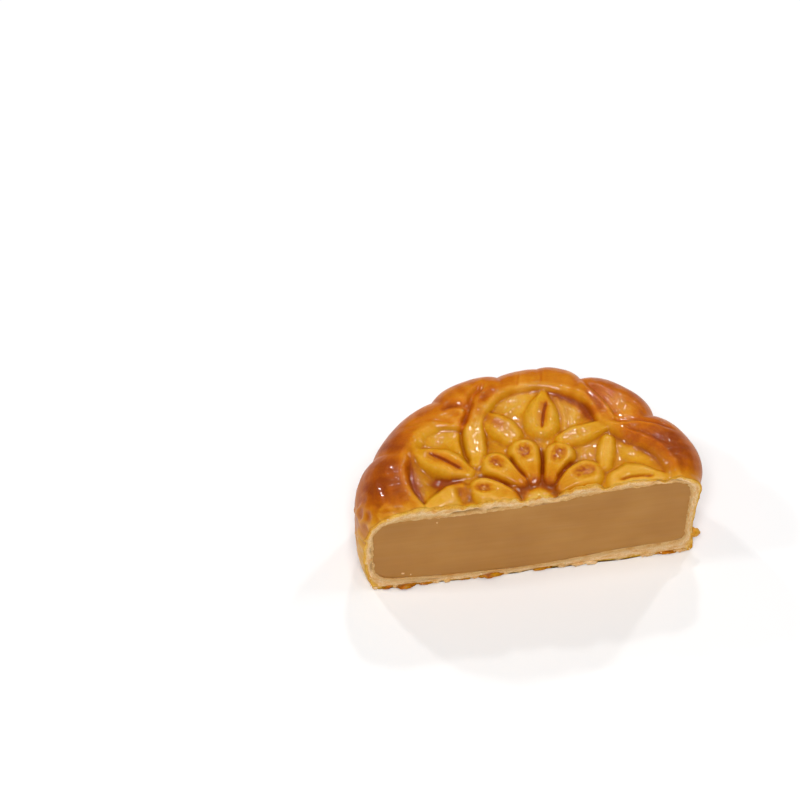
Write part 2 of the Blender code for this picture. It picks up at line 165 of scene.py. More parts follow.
def add_node(tree, kind, values=None, stops=(), **settings):
    """Adds a node. values gives its inputs, by name or number, as a value, an output, or a node whose first
    output in use is meant. stops are the (place, hex colour) pairs of a colour ramp."""
    node = tree.nodes.new("ShaderNode" + kind)
    for key, value in settings.items():
        setattr(node, key, value)
    for key, value in (values or {}).items():
        if isinstance(value, bpy.types.Node):
            value = next(output for output in value.outputs if output.enabled)
        if isinstance(value, bpy.types.NodeSocket):
            tree.links.new(value, node.inputs[key])
        else:
            node.inputs[key].default_value = value
    while stops and len(node.color_ramp.elements) < len(stops):
        node.color_ramp.elements.new(1)
    for i, (position, colour) in enumerate(stops):
        element = node.color_ramp.elements[i]
        element.position, element.color = position, linear(colour)
    return node


def new_material(name):
    """An empty material, and add_node for its own graph."""
    mat = bpy.data.materials.new(name)
    mat.use_nodes = True
    mat.node_tree.nodes.clear()
    return mat, partial(add_node, mat.node_tree)


def add_mesh(name, bm, materials):
    """Turns a bmesh into an object."""
    mesh = bpy.data.meshes.new(name)
    bm.to_mesh(mesh)
    bm.free()
    for mat in materials:
        mesh.materials.append(mat)
    return add_object(name, mesh)


floor_mat, add = new_material("matte_white_paper")
paper = add("BsdfPrincipled", {"Base Color": linear("F8F8F8"), "Roughness": 0.9})
add("OutputMaterial", {"Surface": paper})
sheet = bmesh.new()
bmesh.ops.create_grid(sheet, x_segments=1, y_segments=1, size=FLOOR_SIZE / 2)
floor = add_mesh("floor", sheet, [floor_mat])
floor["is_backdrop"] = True
print("floor of", FLOOR_SIZE, "m")

# %% [markdown]
# ## The outline of the cake
# The mould gives the wall upright lobes. Seen from above, the outline is a radius that depends on the
# direction: straight changes between the creases, and on top of them one swelling for each lobe. A few other
# sizes, such as the width of the rounded shoulder, change slowly around the cake, because dough is not steel.

# %% The outline and the sizes around it
FLOOR_LEVEL = 31.85
CREASES = (
    # direction, radius
    (-28, 38.8), (3, 39.7), (33.5, 38.7), (64.6, 38.7), (81, 40.1), (95.9, 38.8), (122, 39.5), (152, 42.2),
    (182, 41), (212, 39),
)
LOBE_RISES = (0.3, 2.5, 2.4, 1.3, 0.3, 1.6, 0.9, 2.2, 1.6)
LOBE_POWER = 3
DIRECTIONS = (0, 60, 120, 150, 180)
SHOULDER_WIDTHS = (9.5, 8, 8.5, 11.5, 15)
SHOULDER_DROPS = (7.5, 7.5, 8.5, 10.5, 12.5)
FOOT_ROUNDS = (1.6, 2.2, 2.4, 2.2, 2)
FOOT_TAPERS = (0.2, 0.8, 1.2, 2, 2.6)
WAISTS = (1.2, 0.6, 0.3, 0.2, 0)


def clipped(values):
    return np.clip(values, 0, 1)


def mixed(a, b, share):
    """From a, where share is 0, to b, where it is 1."""
    return a * (1 - share) + b * share


def around(degrees, sizes):
    """A size that changes from direction to direction."""
    return np.interp(degrees, DIRECTIONS, sizes)


def tabled(degrees, table, column=1):
    """A size from a table whose rows start with their direction."""
    return np.interp(degrees, [row[0] for row in table], [row[column] for row in table])


def outline(degrees, lobes=1):
    """Radius of the plan outline: lobes that meet in creases."""
    angles = np.array([angle for angle, radius in CREASES])
    lobe = np.clip(np.searchsorted(angles, degrees) - 1, 0, len(LOBE_RISES) - 1)
    middle = (angles[lobe] + angles[lobe + 1]) / 2
    half = (angles[lobe + 1] - angles[lobe]) / 2
    rise = np.array(LOBE_RISES)[lobe] * (1 - clipped(np.abs(degrees - middle) / half) ** LOBE_POWER)
    return tabled(degrees, CREASES) + lobes * rise


print("outline radius at 0, 90 and 180 degrees:", outline(np.array([0, 90, 180])).round(1))

# %% [markdown]
# ## The mould's carving
# The carving could be sculpted by hand, but every motif of it is a strip: a petal, a leaf, a stem or a ridge
# has a midline and a width that changes along it. How deep inside the strip's outline a point
# lies gives its height, with a round back that falls away towards narrow tips. The higher of two motifs
# wins, with a smooth meeting, which is what a press into soft dough does.

# %% Shapes of the carving
MEETING_SOFTNESS = 0.55
FADE_REACH = 0.18
CURVE_STEPS = 6
TIP_FALL = 0.5
FULLNESS = 0.55
END_SHARE = 0.2


def bell(distance):
    """1 at no distance, fading away beyond 1."""
    return np.exp(-distance ** 2)


def pillow(depth, edge, rise):
    """Height of a raised shape, rounded over its edge; depth is measured in from its outline."""
    return rise * np.sin(math.pi / 2 * clipped(depth / edge))


def higher(a, b):
    """The higher of two heights, with a smooth meeting."""
    share = clipped(0.5 + 0.5 * (a - b) / MEETING_SOFTNESS)
    return b + (a - b) * share + MEETING_SOFTNESS * share * (1 - share)


def smooth_curve(p):
    """Points of a smooth curve through the given ones."""
    p = np.vstack([2 * p[0] - p[1], p, 2 * p[-1] - p[-2]])
    t = np.arange(CURVE_STEPS)[:, None] / CURVE_STEPS
    parts = []
    for a, b, c, d in zip(p, p[1:], p[2:], p[3:]):
        bend = (2 * a - 5 * b + 4 * c - d) * t ** 2 + (3 * b - a - 3 * c + d) * t ** 3
        parts.append(0.5 * (2 * b + (c - a) * t + bend))
    return np.vstack(parts + [p[-2:-1]])


def near_curve(x, y, points, reach):
    """Which points lie in the box around a curve, and their distance to it and place along it, 0 to 1."""
    low, high = np.min(points, axis=0) - reach, np.max(points, axis=0) + reach
    near = (x > low[0]) & (x < high[0]) & (y > low[1]) & (y < high[1])
    x, y = x[near], y[near]
    nearest, place = np.full(x.shape, np.inf), np.zeros(x.shape)
    curve = smooth_curve(points)
    for i, (start, end) in enumerate(zip(curve, curve[1:])):
        dx, dy = end - start
        t = clipped(((x - start[0]) * dx + (y - start[1]) * dy) / (dx * dx + dy * dy))
        distance = np.hypot(x - start[0] - t * dx, y - start[1] - t * dy)
        place = np.where(distance < nearest, (i + t) / (len(curve) - 1), place)
        nearest = np.minimum(nearest, distance)
    return near, nearest, place


def stroke(x, y, spread, amount, *points, least=END_SHARE):
    """A soft line through the points: amount on it, less towards its ends, fading away over its spread."""
    result = np.zeros(x.shape)
    near, distance, place = near_curve(x, y, np.reshape(points, (-1, 2)), 3 * spread)
    ends = clipped(least + np.minimum(place, 1 - place) / FADE_REACH)
    result[near] = amount * ends * bell(distance / spread)
    return result


def strip(x, y, rise, edge, *stations):
    """Height of a moulded strip. stations gives x, y and half width along its midline."""
    stations = np.reshape(stations, (-1, 3))
    widths = stations[:, 2]
    result = np.zeros(x.shape)
    near, distance, place = near_curve(x, y, stations[:, :2], widths.max() + FULLNESS)
    width = np.interp(place, np.linspace(0, 1, len(widths)), widths)
    fall = (width / widths.max()) ** TIP_FALL
    result[near] = pillow(width + FULLNESS - distance, edge * width + FULLNESS, rise) * fall
    return result


def from_oval(x, y, centre_x, centre_y, half_length, half_width, turn):
    """Distance from an oval's centre as a share of its size, 1 on its outline."""
    a = math.radians(turn)
    dx, dy = x - centre_x, y - centre_y
    along, across = dx * math.cos(a) + dy * math.sin(a), dy * math.cos(a) - dx * math.sin(a)
    return np.hypot(along / half_length, across / half_width)


print("a pillow of 2 mm, from its edge in:", pillow(np.array([0, 0.5, 1, 2]), 2, 2).round(2))

# %% [markdown]
# The numbers below are the mould itself, in millimetres about the cake's axis, with X along the cut. First
# come the motifs that the solid also has, and then the small ones: creases across the arch, a second line
# beside the stems, the blistered hollows of the petals.

# %% The carving's sizes
MOTIFS = (
    # rise, share of the width that is rounded, then x, y and half width of each station on the midline
    # petals of the flower, from the right
    (3.2, 0.5, 4.9, -1, 1, 12.5, -2.4, 3.7),
    (2.3, 0.5, 5.8, 1.8, 1.5, 8.8, 3.6, 3.4, 12.2, 4.5, 4.1),
    (2.3, 0.5, 3.4, 4.5, 1.4, 5.1, 7.6, 2.9, 6.9, 10.8, 3.7),
    (2.3, 0.5, -0.4, 5.2, 1.5, -0.9, 8.5, 3, -1.5, 12.7, 3.9),
    (2.2, 0.5, -3.2, 4.8, 1.4, -5.8, 7.3, 3, -8.6, 9.9, 3.8),
    (2.1, 0.5, -6, 0.7, 1.6, -9.2, 2.2, 3.2, -12.6, 3.4, 3.8),
    # leaves around it
    (2.3, 0.6, 5.9, 29, 1, 5.2, 25.8, 3.3, 4.6, 22.8, 4.4, 4.1, 20.2, 4.5),
    (2, 0.55, -9.6, 24.8, 1.4, -7.5, 22.4, 3.1, -5.2, 20, 3.5, -3.9, 18.2, 3.1),
    (1.9, 0.55, 8.6, 14.8, 2.2, 11.6, 15.8, 2.9, 14.8, 16.6, 2.6, 18, 17.5, 1.8, 20.6, 17.9, 1.2),
    (2.2, 0.6, -27, 16.8, 1, -24.6, 14.9, 3, -21.4, 12.8, 4.1, -18.4, 10.9, 3.7, -15.4, 9.2, 1.6),
    (2.3, 0.6, -26.8, 0.4, 1.2, -23.6, 1.9, 2.6, -20.4, 3.1, 3.6, -18.6, 3.8, 3.1),
    (2.5, 0.6, 19.6, 1.6, 3.3, 22, 1.8, 4.6, 25.2, 1.7, 3.8, 28.4, 1.4, 1.9, 30.4, 1.3, 0.8),
    (1.8, 0.7, 16.9, 6.4, 1.7, 17.4, 8.6, 2.1, 18.2, 11.2, 2.1, 18.8, 13.2, 1.8),
    (1, 0.9, 21.5, 11.4, 1.2, 22.9, 9.6, 2.3, 24.8, 7.8, 2.3, 27.2, 6.3, 1.2),
    (0.8, 0.9, 10.4, 26, 0.8, 11.8, 22.5, 2, 11.6, 19.4, 1.4),
    # stems
    (2.2, 0.5, -13.3, 11.2, 1.2, -12.7, 14, 2.3, -12.4, 18, 2.6, -12.2, 21.5, 2.5, -10.8, 25, 2.6, -9, 28, 2.8,
     -6.4, 30.4, 2.4, -2, 32, 1.6),
    (2, 0.9, 13.8, 28.8, 1.1, 15.6, 26.6, 1.2, 16.8, 24, 1.2, 17.4, 21.6, 1.2, 18.2, 19.4, 1),
    (2.1, 0.9, 17, 28.4, 1, 18.4, 26, 1.1, 19.4, 24, 1.1, 20.6, 21.8, 1.1, 21.2, 19.6, 0.9),
    (0.8, 0.9, 8.9, 27.4, 0.5, 9.6, 24.5, 0.6, 9.8, 21.5, 0.6, 9.3, 18.4, 0.5),
)
HOLLOW_DEPTH = 0.5
HOLLOW_SLOPE = 0.8
HOLLOWS = (
    # x, y, half length, half width, turn
    (11.9, 4.9, 4.4, 3.1, 8), (6.4, 10.8, 3.6, 2.8, 64), (-1.4, 12.5, 3.2, 3, 96), (-8.5, 10.2, 3.2, 2.7, 135),
    (-12.8, 3.8, 3.5, 2.1, 165),
)
DENTS = (
    # x, y, half length, half width, turn, depth
    (-18.2, 3.2, 2.7, 1.4, 92, 1.3), (-8.3, 29.5, 2, 1.2, 38, 0.45), (-16.5, 25.7, 2.4, 1.4, 5, 0.4),
    (-21, 7.2, 3.6, 1.5, 168, 0.5), (-9.2, 16.4, 1.4, 2.2, 10, 0.4), (14, 20.8, 1.6, 1.8, 0, 0.4),
    (-24.3, 8, 3, 4.8, 8, 1.2), (24, 21.5, 2.4, 3.2, 0, 0.5),
)
RIM_RISE = 1.9
RIM_PATH = (
    # direction, radius of the rim's inner edge
    (0, 33.3), (7, 33), (13.4, 32.3), (19, 31.1), (24.3, 29.6), (29.7, 28.2), (37.5, 27.1), (47, 26.6),
    (50.7, 27.8), (54.7, 29.4), (59.7, 30.7), (69.5, 31.5), (82.7, 31.7), (90, 31.2), (95.5, 31.1), (101.5, 30.1),
    (108.4, 28.5), (113.2, 26.8), (118, 26), (122.8, 26.4), (127, 28.4), (133, 32.2), (139, 34), (145.8, 33.6),
    (151.8, 33.8), (158.7, 33.1), (165.5, 32), (171.5, 30.5), (180, 27.8),
)
RIM_SHAPES = (
    # direction, width of the inner slope, height of the lip
    (0, 3.2, 0.45), (30, 3, 0.4), (45, 1.8, 0), (60, 2.4, 0.1), (75, 1.8, 0.1), (90, 1.2, 0.1), (105, 1.6, 0.1),
    (120, 1.8, 0), (130, 2.6, 0), (142, 3.6, 0.1), (155, 3.2, 0.3), (180, 2.6, 0.2),
)
RIM_LIP_PLACE, RIM_LIP_SPREAD = 0.5, 0.8
GROOVES = (
    # spread, depth (a minus sign raises a line), then x and y of each point
    # the leaves' middles
    (1.5, 0.45, 3.6, 17.6, 4.8, 22.2, 6.3, 26.4),
    (0.26, 0.4, 3.8, 18.2, 4.9, 22.4, 6.3, 26.2),
    (1.5, 0.45, -24.6, 16, -20.6, 13, -16, 9.4),
    (0.28, 0.5, -23.9, 15.6, -20.6, 12.9, -17, 9.9),
    (1, 0.4, 18.6, 1, 23.4, 1.5, 28.2, 1.4),
    (0.26, 0.4, 19.4, 1.2, 23.6, 1.6, 27.7, 1.5),
    # between the petals
    (0.5, 0.6, 2.8, 14, 2.6, 10, 1.8, 6),
    (0.6, 0.8, 9.8, 8.8, 7.2, 6.6, 5, 4.4),
    (0.5, 0.6, -5, 12, -4.2, 9, -2.2, 5.6),
    (0.5, 0.6, -13.6, 7.9, -10, 6.8, -6.4, 4),
    (0.5, 0.4, -16.5, 6.6, -16.7, 4, -16.6, 1),
    # around the stems and the arch
    (0.8, 0.9, 16.2, 33, 17, 30.4, 18.2, 28.3, 19.5, 26.4, 20.9, 23.8, 21.9, 21.2, 22.8, 18.8),
    (0.6, 0.7, 20.2, 18.6, 22.6, 18.5, 26, 18.2, 29, 17.3, 31.5, 16.5, 36, 14.3),
    (0.5, -0.4, 21.5, 17.2, 25, 17, 28, 16.5, 31, 15.6),
    (0.9, 1.1, -7.6, 34.4, -9.2, 32.3, -10.9, 30.6, -11.9, 28.5, -12.7, 26.3, -13.9, 23.8, -15.2, 21.2),
    (0.6, 0.7, -15.2, 21.4, -15.6, 18, -15.3, 14.5, -14.3, 11.6),
    (0.35, 0.22, 0.1, 31.4, 0.4, 33, 1.3, 36, 1.8, 39),
    (0.35, 0.22, 6, 31.6, 6.2, 33.4, 6.8, 36.5, 7.4, 39.5),
    # folds of the left side
    (1.1, 0.6, -19.5, 27.4, -17, 27.9, -14.5, 27.9, -12.6, 27.2),
    (0.9, 0.5, -28.4, 24.4, -25, 24.9, -22, 24.9, -18.5, 24, -16.4, 22.9),
    (0.9, -0.5, -18.8, 26.6, -16.6, 27, -14.4, 26.3, -14.3, 24.6, -16, 23.6),
    (0.7, 0.3, -27.6, 22.6, -24, 23.4, -20.4, 22.8, -17.4, 21.8),
    (0.6, 0.7, -27.8, 17, -28.8, 13, -29.2, 9, -28.6, 5.5, -27.2, 2.8, -26.9, 1.2),
    (1, 0.5, -36.6, 12, -36.2, 8, -35.4, 4.5, -34.8, 2, -34.2, 0),
    (0.8, 0.3, -38.6, 10, -38.4, 6, -37.4, 2),
    (0.35, -0.3, -39.4, 4.6, -37.6, 2.8, -34.4, 1.9),
    (0.3, -0.25, -38, 8, -38.4, 5.6, -37, 4.2),
    (0.4, 0.3, -38.9, 3.2, -36.6, 1.7, -33.4, 0.9),
    # folds of the right side
    (0.8, 0.35, 24.5, 24.8, 27.4, 22.4, 29.2, 19.8),
    (0.7, 0.35, 17.6, 30, 19.8, 28, 22, 25.6, 22.8, 23),
    (0.5, 0.3, 23.6, 15.9, 28, 13.8, 32.4, 10),
)
BUTTON_CENTRE = (0, -0.3)
BUTTON_RADIUS, BUTTON_RISE = 3.5, 1.2
MOAT_RADIUS, MOAT_SPREAD, MOAT_DEPTH = 4.4, 1.3, 0.9


def beyond_rim(x, y, degrees):
    """How far out a point lies from the rim's inner edge."""
    return np.hypot(x, y) - tabled(degrees, RIM_PATH)


def petal_hollow(x, y):
    """How far a point lies in the sunk middle of a petal, from 0 to 1."""
    result = np.zeros(x.shape)
    for oval in HOLLOWS:
        result = np.maximum(result, clipped((1 - from_oval(x, y, *oval)) / HOLLOW_SLOPE))
    return result * result * (3 - 2 * result)


def from_button(x, y):
    return np.hypot(x - BUTTON_CENTRE[0], y - BUTTON_CENTRE[1])


def top_relief(x, y, degrees):
    """Height of the moulded top above the floor level of the panels."""
    beyond, slope = beyond_rim(x, y, degrees), tabled(degrees, RIM_SHAPES)
    z = pillow(beyond + slope, slope, RIM_RISE)
    z += tabled(degrees, RIM_SHAPES, 2) * bell((beyond - RIM_LIP_PLACE) / RIM_LIP_SPREAD)
    for motif in MOTIFS:
        z = higher(z, strip(x, y, *motif))
    z -= HOLLOW_DEPTH * petal_hollow(x, y)
    for groove in GROOVES:
        z -= stroke(x, y, *groove)
    for *oval, depth in DENTS:
        z -= depth * bell(from_oval(x, y, *oval))
    z -= MOAT_DEPTH * bell(np.maximum(from_button(x, y) - MOAT_RADIUS, 0) / MOAT_SPREAD)
    return z + pillow(BUTTON_RADIUS - from_button(x, y), BUTTON_RADIUS, BUTTON_RISE)


print(len(MOTIFS), "motifs,", len(GROOVES), "lines and", len(HOLLOWS) + len(DENTS), "hollows")

# %% [markdown]
# ## A plain block, turned
# Both the cake and its filling start as the same plain round block: a half section with a flat base, a small
# round at the foot, an upright wall, a wide round shoulder and a flat top. The spin operator could turn it,
# but it slows down with every step, and four hundred are needed here. So create_grid makes a flat sheet,
# one way along the section and the other way around the cake, and each point is sent to its place on the body.
# Where the section meets the axis, the points of a whole row fall together, and remove_doubles welds them.

# %% Turning the block
BLOCK_SHOULDER, BLOCK_FOOT = 0.2, 0.1
TOP_FLAT = WALL_TOP = 1 - BLOCK_SHOULDER
BASE_FLAT = 1 - BLOCK_FOOT
SAME_POINT = 1e-5
RINGS = {"top": 108, "shoulder": 30, "wall": 36, "foot": 8, "base": 10}
SKIN_STEPS, HOLLOW_STEPS = 400, 30


def block_profile(rings):
    """Half section of a plain round block of radius 1 and height 1, from the base's middle to the top's."""
    points = [(BASE_FLAT * i / rings["base"], 0) for i in range(rings["base"])]
    for i in range(rings["foot"]):
        a = math.pi / 2 * i / rings["foot"]
        points.append((1 - BLOCK_FOOT * (1 - math.sin(a)), BLOCK_FOOT * (1 - math.cos(a))))
    points += [(1, BLOCK_FOOT + (WALL_TOP - BLOCK_FOOT) * i / rings["wall"]) for i in range(rings["wall"])]
    for i in range(rings["shoulder"]):
        a = math.pi / 2 * i / rings["shoulder"]
        points.append((1 - BLOCK_SHOULDER * (1 - math.cos(a)), 1 - BLOCK_SHOULDER * (1 - math.sin(a))))
    return points + [(TOP_FLAT * (1 - i / rings["top"]), 1) for i in range(rings["top"] + 1)]


def half_block(rings, steps):
    """A sheet of faces, and the direction, radius and height of each of its points on the block."""
    profile = np.array(block_profile(rings))
    bm = bmesh.new()
    bmesh.ops.create_grid(bm, x_segments=len(profile) - 1, y_segments=steps, size=0.5)
    sheet = np.array([v.co for v in bm.verts]) + 0.5
    along = np.rint(sheet[:, 0] * (len(profile) - 1)).astype(int)
    return bm, (180 * sheet[:, 1], profile[along, 0], profile[along, 1])


def wrapped(bm, block, points):
    """Sends the sheet's points to their places and welds the rows that lie on the axis."""
    for vert, co in zip(bm.verts, points):
        vert.co = co
    on_axis = [v for v, radius in zip(bm.verts, block[1]) if radius == 0]
    bmesh.ops.remove_doubles(bm, verts=on_axis, dist=SAME_POINT)


def stretched_radius(radius, height, rho, shoulder, foot):
    """Radius on the shaped body: rho is the outline, shoulder and foot are the widths of the rounds."""
    on_shoulder = rho - shoulder * (1 - (radius - TOP_FLAT) / BLOCK_SHOULDER)
    on_foot = rho - foot * (1 - (radius - BASE_FLAT) / BLOCK_FOOT)
    top = np.where(radius <= TOP_FLAT, radius / TOP_FLAT * (rho - shoulder), on_shoulder)
    base = np.where(radius <= BASE_FLAT, radius / BASE_FLAT * (rho - foot), on_foot)
    return np.where(height >= WALL_TOP - SAME_POINT, top, np.where(height <= BLOCK_FOOT, base, rho))


def stretched_height(height, low, high, drop, foot):
    """Height on the shaped body, between its own low and high levels."""
    wall = low + foot + (high - drop - low - foot) * (height - BLOCK_FOOT) / (WALL_TOP - BLOCK_FOOT)
    top = high - drop * (1 - height) / BLOCK_SHOULDER
    return np.where(height >= WALL_TOP, top, np.where(height <= BLOCK_FOOT, low + foot * height / BLOCK_FOOT, wall))


def wander(places, size, seed=0):
    """A smooth random field, about -1 to 1, that changes over so many millimetres, or over so many along X,
    Y and Z. The seed only picks another stretch of it."""
    return np.array([noise.noise(Vector(p)) for p in places / np.array(size) + seed])


skin, skin_block = half_block(RINGS, SKIN_STEPS)
print("skin of the block:", len(skin.verts), "points")

# %% [markdown]
# ## The baked skin
# The skin takes the outline, the rounded shoulder and the carving. Baking then adds what no mould has: a
# slow swell and fine waves, wrinkles along the wall where the dough slumped, blisters in the petals' hollows,
# pebbles where the egg bubbled in the recesses and on the shoulder, and a crackle on the wall at the left end
# of the cut. All of it is moved geometry, so it holds in any light.

# %% Shaping the skin
TAPER_HEIGHT = 15
WALL_START = 3
SLIMMER = 0.997
KNIFE_PRESS, PRESS_REACH = 0.3, 0.9
SWELL, SWELL_SIZE = 0.22, 7
WRINKLE, WRINKLE_SIZES = 0.14, (9, 9, 1.6)
BLISTER, BLISTER_SIZE = 0.16, 0.8
WAVE, WAVE_SIZE = 0.18, 2.4
PIMPLE, PIMPLE_SIZE = 0.055, 0.9
CALM_TOPS, CALM_RELIEF, CALM_RADIUS = 0.7, 2, 28
TORN, TORN_REACH, TORN_SLOPE = 0.4, 1.1, 0.7
TORN_SIZE, FINE_TORN, FINE_TORN_SIZE = 1.6, 0.6, 0.7
PEBBLES, PEBBLE_SIZE = 0.3, 1.6
RECESS_PEBBLES, RECESS_DEPTH, RECESS_RADIUS = 0.75, 0.9, 32
RADIUS_FADE = 4
PEBBLED = (
    # x, y, half length, half width, turn
    (34.6, 5, 5.5, 2.2, 98), (28, 14.5, 4.5, 1.6, 150), (-33, 8, 5.5, 2.2, 96), (-22.6, 6.8, 3, 1.6, 170),
    (-16.6, 18, 2.6, 1.2, 90), (18, 23.6, 4.5, 1.3, 115), (20.6, 6.6, 2, 1.2, 150), (-30.4, 3, 2.4, 1.6, 150),
    (-4.6, 27, 3.2, 1.3, 118), (1.6, 27.6, 1.6, 2.2, 0), (12.8, 22, 1.8, 4, 0), (13.6, 11.6, 3, 1.6, 20),
    (-21, 18.6, 5, 2.4, 0), (14.6, 13.6, 4, 0.9, 20), (24.6, 10.4, 2.4, 1.4, 140),
)
CRACKLE_PLACE, CRACKLE_REACH = (178, 24), (10, 10)  # direction and height
CRACKLE_DEPTH, CRACKLE_RIDGE, CRACKLE_SIZES = 0.7, 0.28, (4.4, 4.4, 2.6)


def near_cut(y, reach):
    return np.exp(-np.maximum(y, 0) / reach)


def crackle(places, degrees):
    """Where the glaze crackled, and how close each point is to one of its ridges, both from 0 to 1."""
    off = [(degrees - CRACKLE_PLACE[0]) / CRACKLE_REACH[0], (places[:, 2] - CRACKLE_PLACE[1]) / CRACKLE_REACH[1]]
    ridge = 1 - clipped(np.abs(wander(places, CRACKLE_SIZES, 29)) / CRACKLE_RIDGE)
    return bell(np.hypot(*off)), ridge


def skin_shape(degrees, radius, height):
    """The points of the skin in millimetres, and what the baking needs to know about each."""
    rho, foot, drop = outline(degrees), around(degrees, FOOT_ROUNDS), around(degrees, SHOULDER_DROPS)
    level = FLOOR_LEVEL + RIM_RISE
    r = stretched_radius(radius, height, rho, around(degrees, SHOULDER_WIDTHS), foot)
    z = stretched_height(height, 0, level, drop, foot)
    taper = around(degrees, FOOT_TAPERS) * clipped(1 - z / TAPER_HEIGHT) ** 2
    waist = around(degrees, WAISTS) * np.sin(np.pi * clipped(z / (level - drop)))
    r *= SLIMMER - (taper + waist) / rho
    turn = np.radians(degrees)
    x, y = r * np.cos(turn), r * np.sin(turn)
    places = np.column_stack([x, y, z])
    weight = 1 - clipped((radius - TOP_FLAT) / BLOCK_SHOULDER) ** 2
    weight = np.where(height >= WALL_TOP - SAME_POINT, weight, 0)
    relief = top_relief(x, y, degrees)
    pressed = KNIFE_PRESS * near_cut(y, PRESS_REACH)
    swell = SWELL * wander(places, SWELL_SIZE)
    wrinkles = WRINKLE * wander(places, WRINKLE_SIZES, 7.3)
    out = 1 + (swell + wrinkles) * clipped(z / WALL_START) * (1 - weight) / np.maximum(r, 1)
    x, y = x * out, y * out
    z = z + weight * (relief - RIM_RISE - pressed + swell)
    hollow = petal_hollow(x, y) * weight
    z += BLISTER * np.abs(wander(places, BLISTER_SIZE, 3.1)) * hollow
    pebbled = RECESS_PEBBLES * clipped(1 - relief / RECESS_DEPTH) * clipped((RECESS_RADIUS - r) / RADIUS_FADE)
    for oval in PEBBLED:
        pebbled = np.maximum(pebbled, bell(from_oval(x, y, *oval)))
    z += PEBBLES * wander(places, PEBBLE_SIZE, 19.3) * pebbled * np.sqrt(weight)
    calm = 1 - CALM_TOPS * clipped(relief / CALM_RELIEF) * clipped((CALM_RADIUS - r) / RADIUS_FADE)
    z += (WAVE * calm * wander(places, WAVE_SIZE, 23.1) + PIMPLE * wander(places, PIMPLE_SIZE, 11.7)) * weight
    crackled, ridge = crackle(places, degrees)
    inward = 1 - CRACKLE_DEPTH * crackled * (1 - ridge) / np.maximum(r, 1)
    x, y = x * inward, y * inward
    torn = wander(places, TORN_SIZE, 13) + FINE_TORN * wander(places, FINE_TORN_SIZE, 17)
    torn *= TORN * near_cut(y, TORN_REACH)
    z -= TORN_SLOPE * np.abs(torn) * weight
    return {"places": np.column_stack([x, y + torn, z]), "degrees": degrees, "weight": weight,
            "relief": relief, "hollow": hollow, "crackled": crackled, "ridge": ridge}


facts = skin_shape(*skin_block)
print("skin spans", np.ptp(facts["places"], axis=0).round(1), "mm")
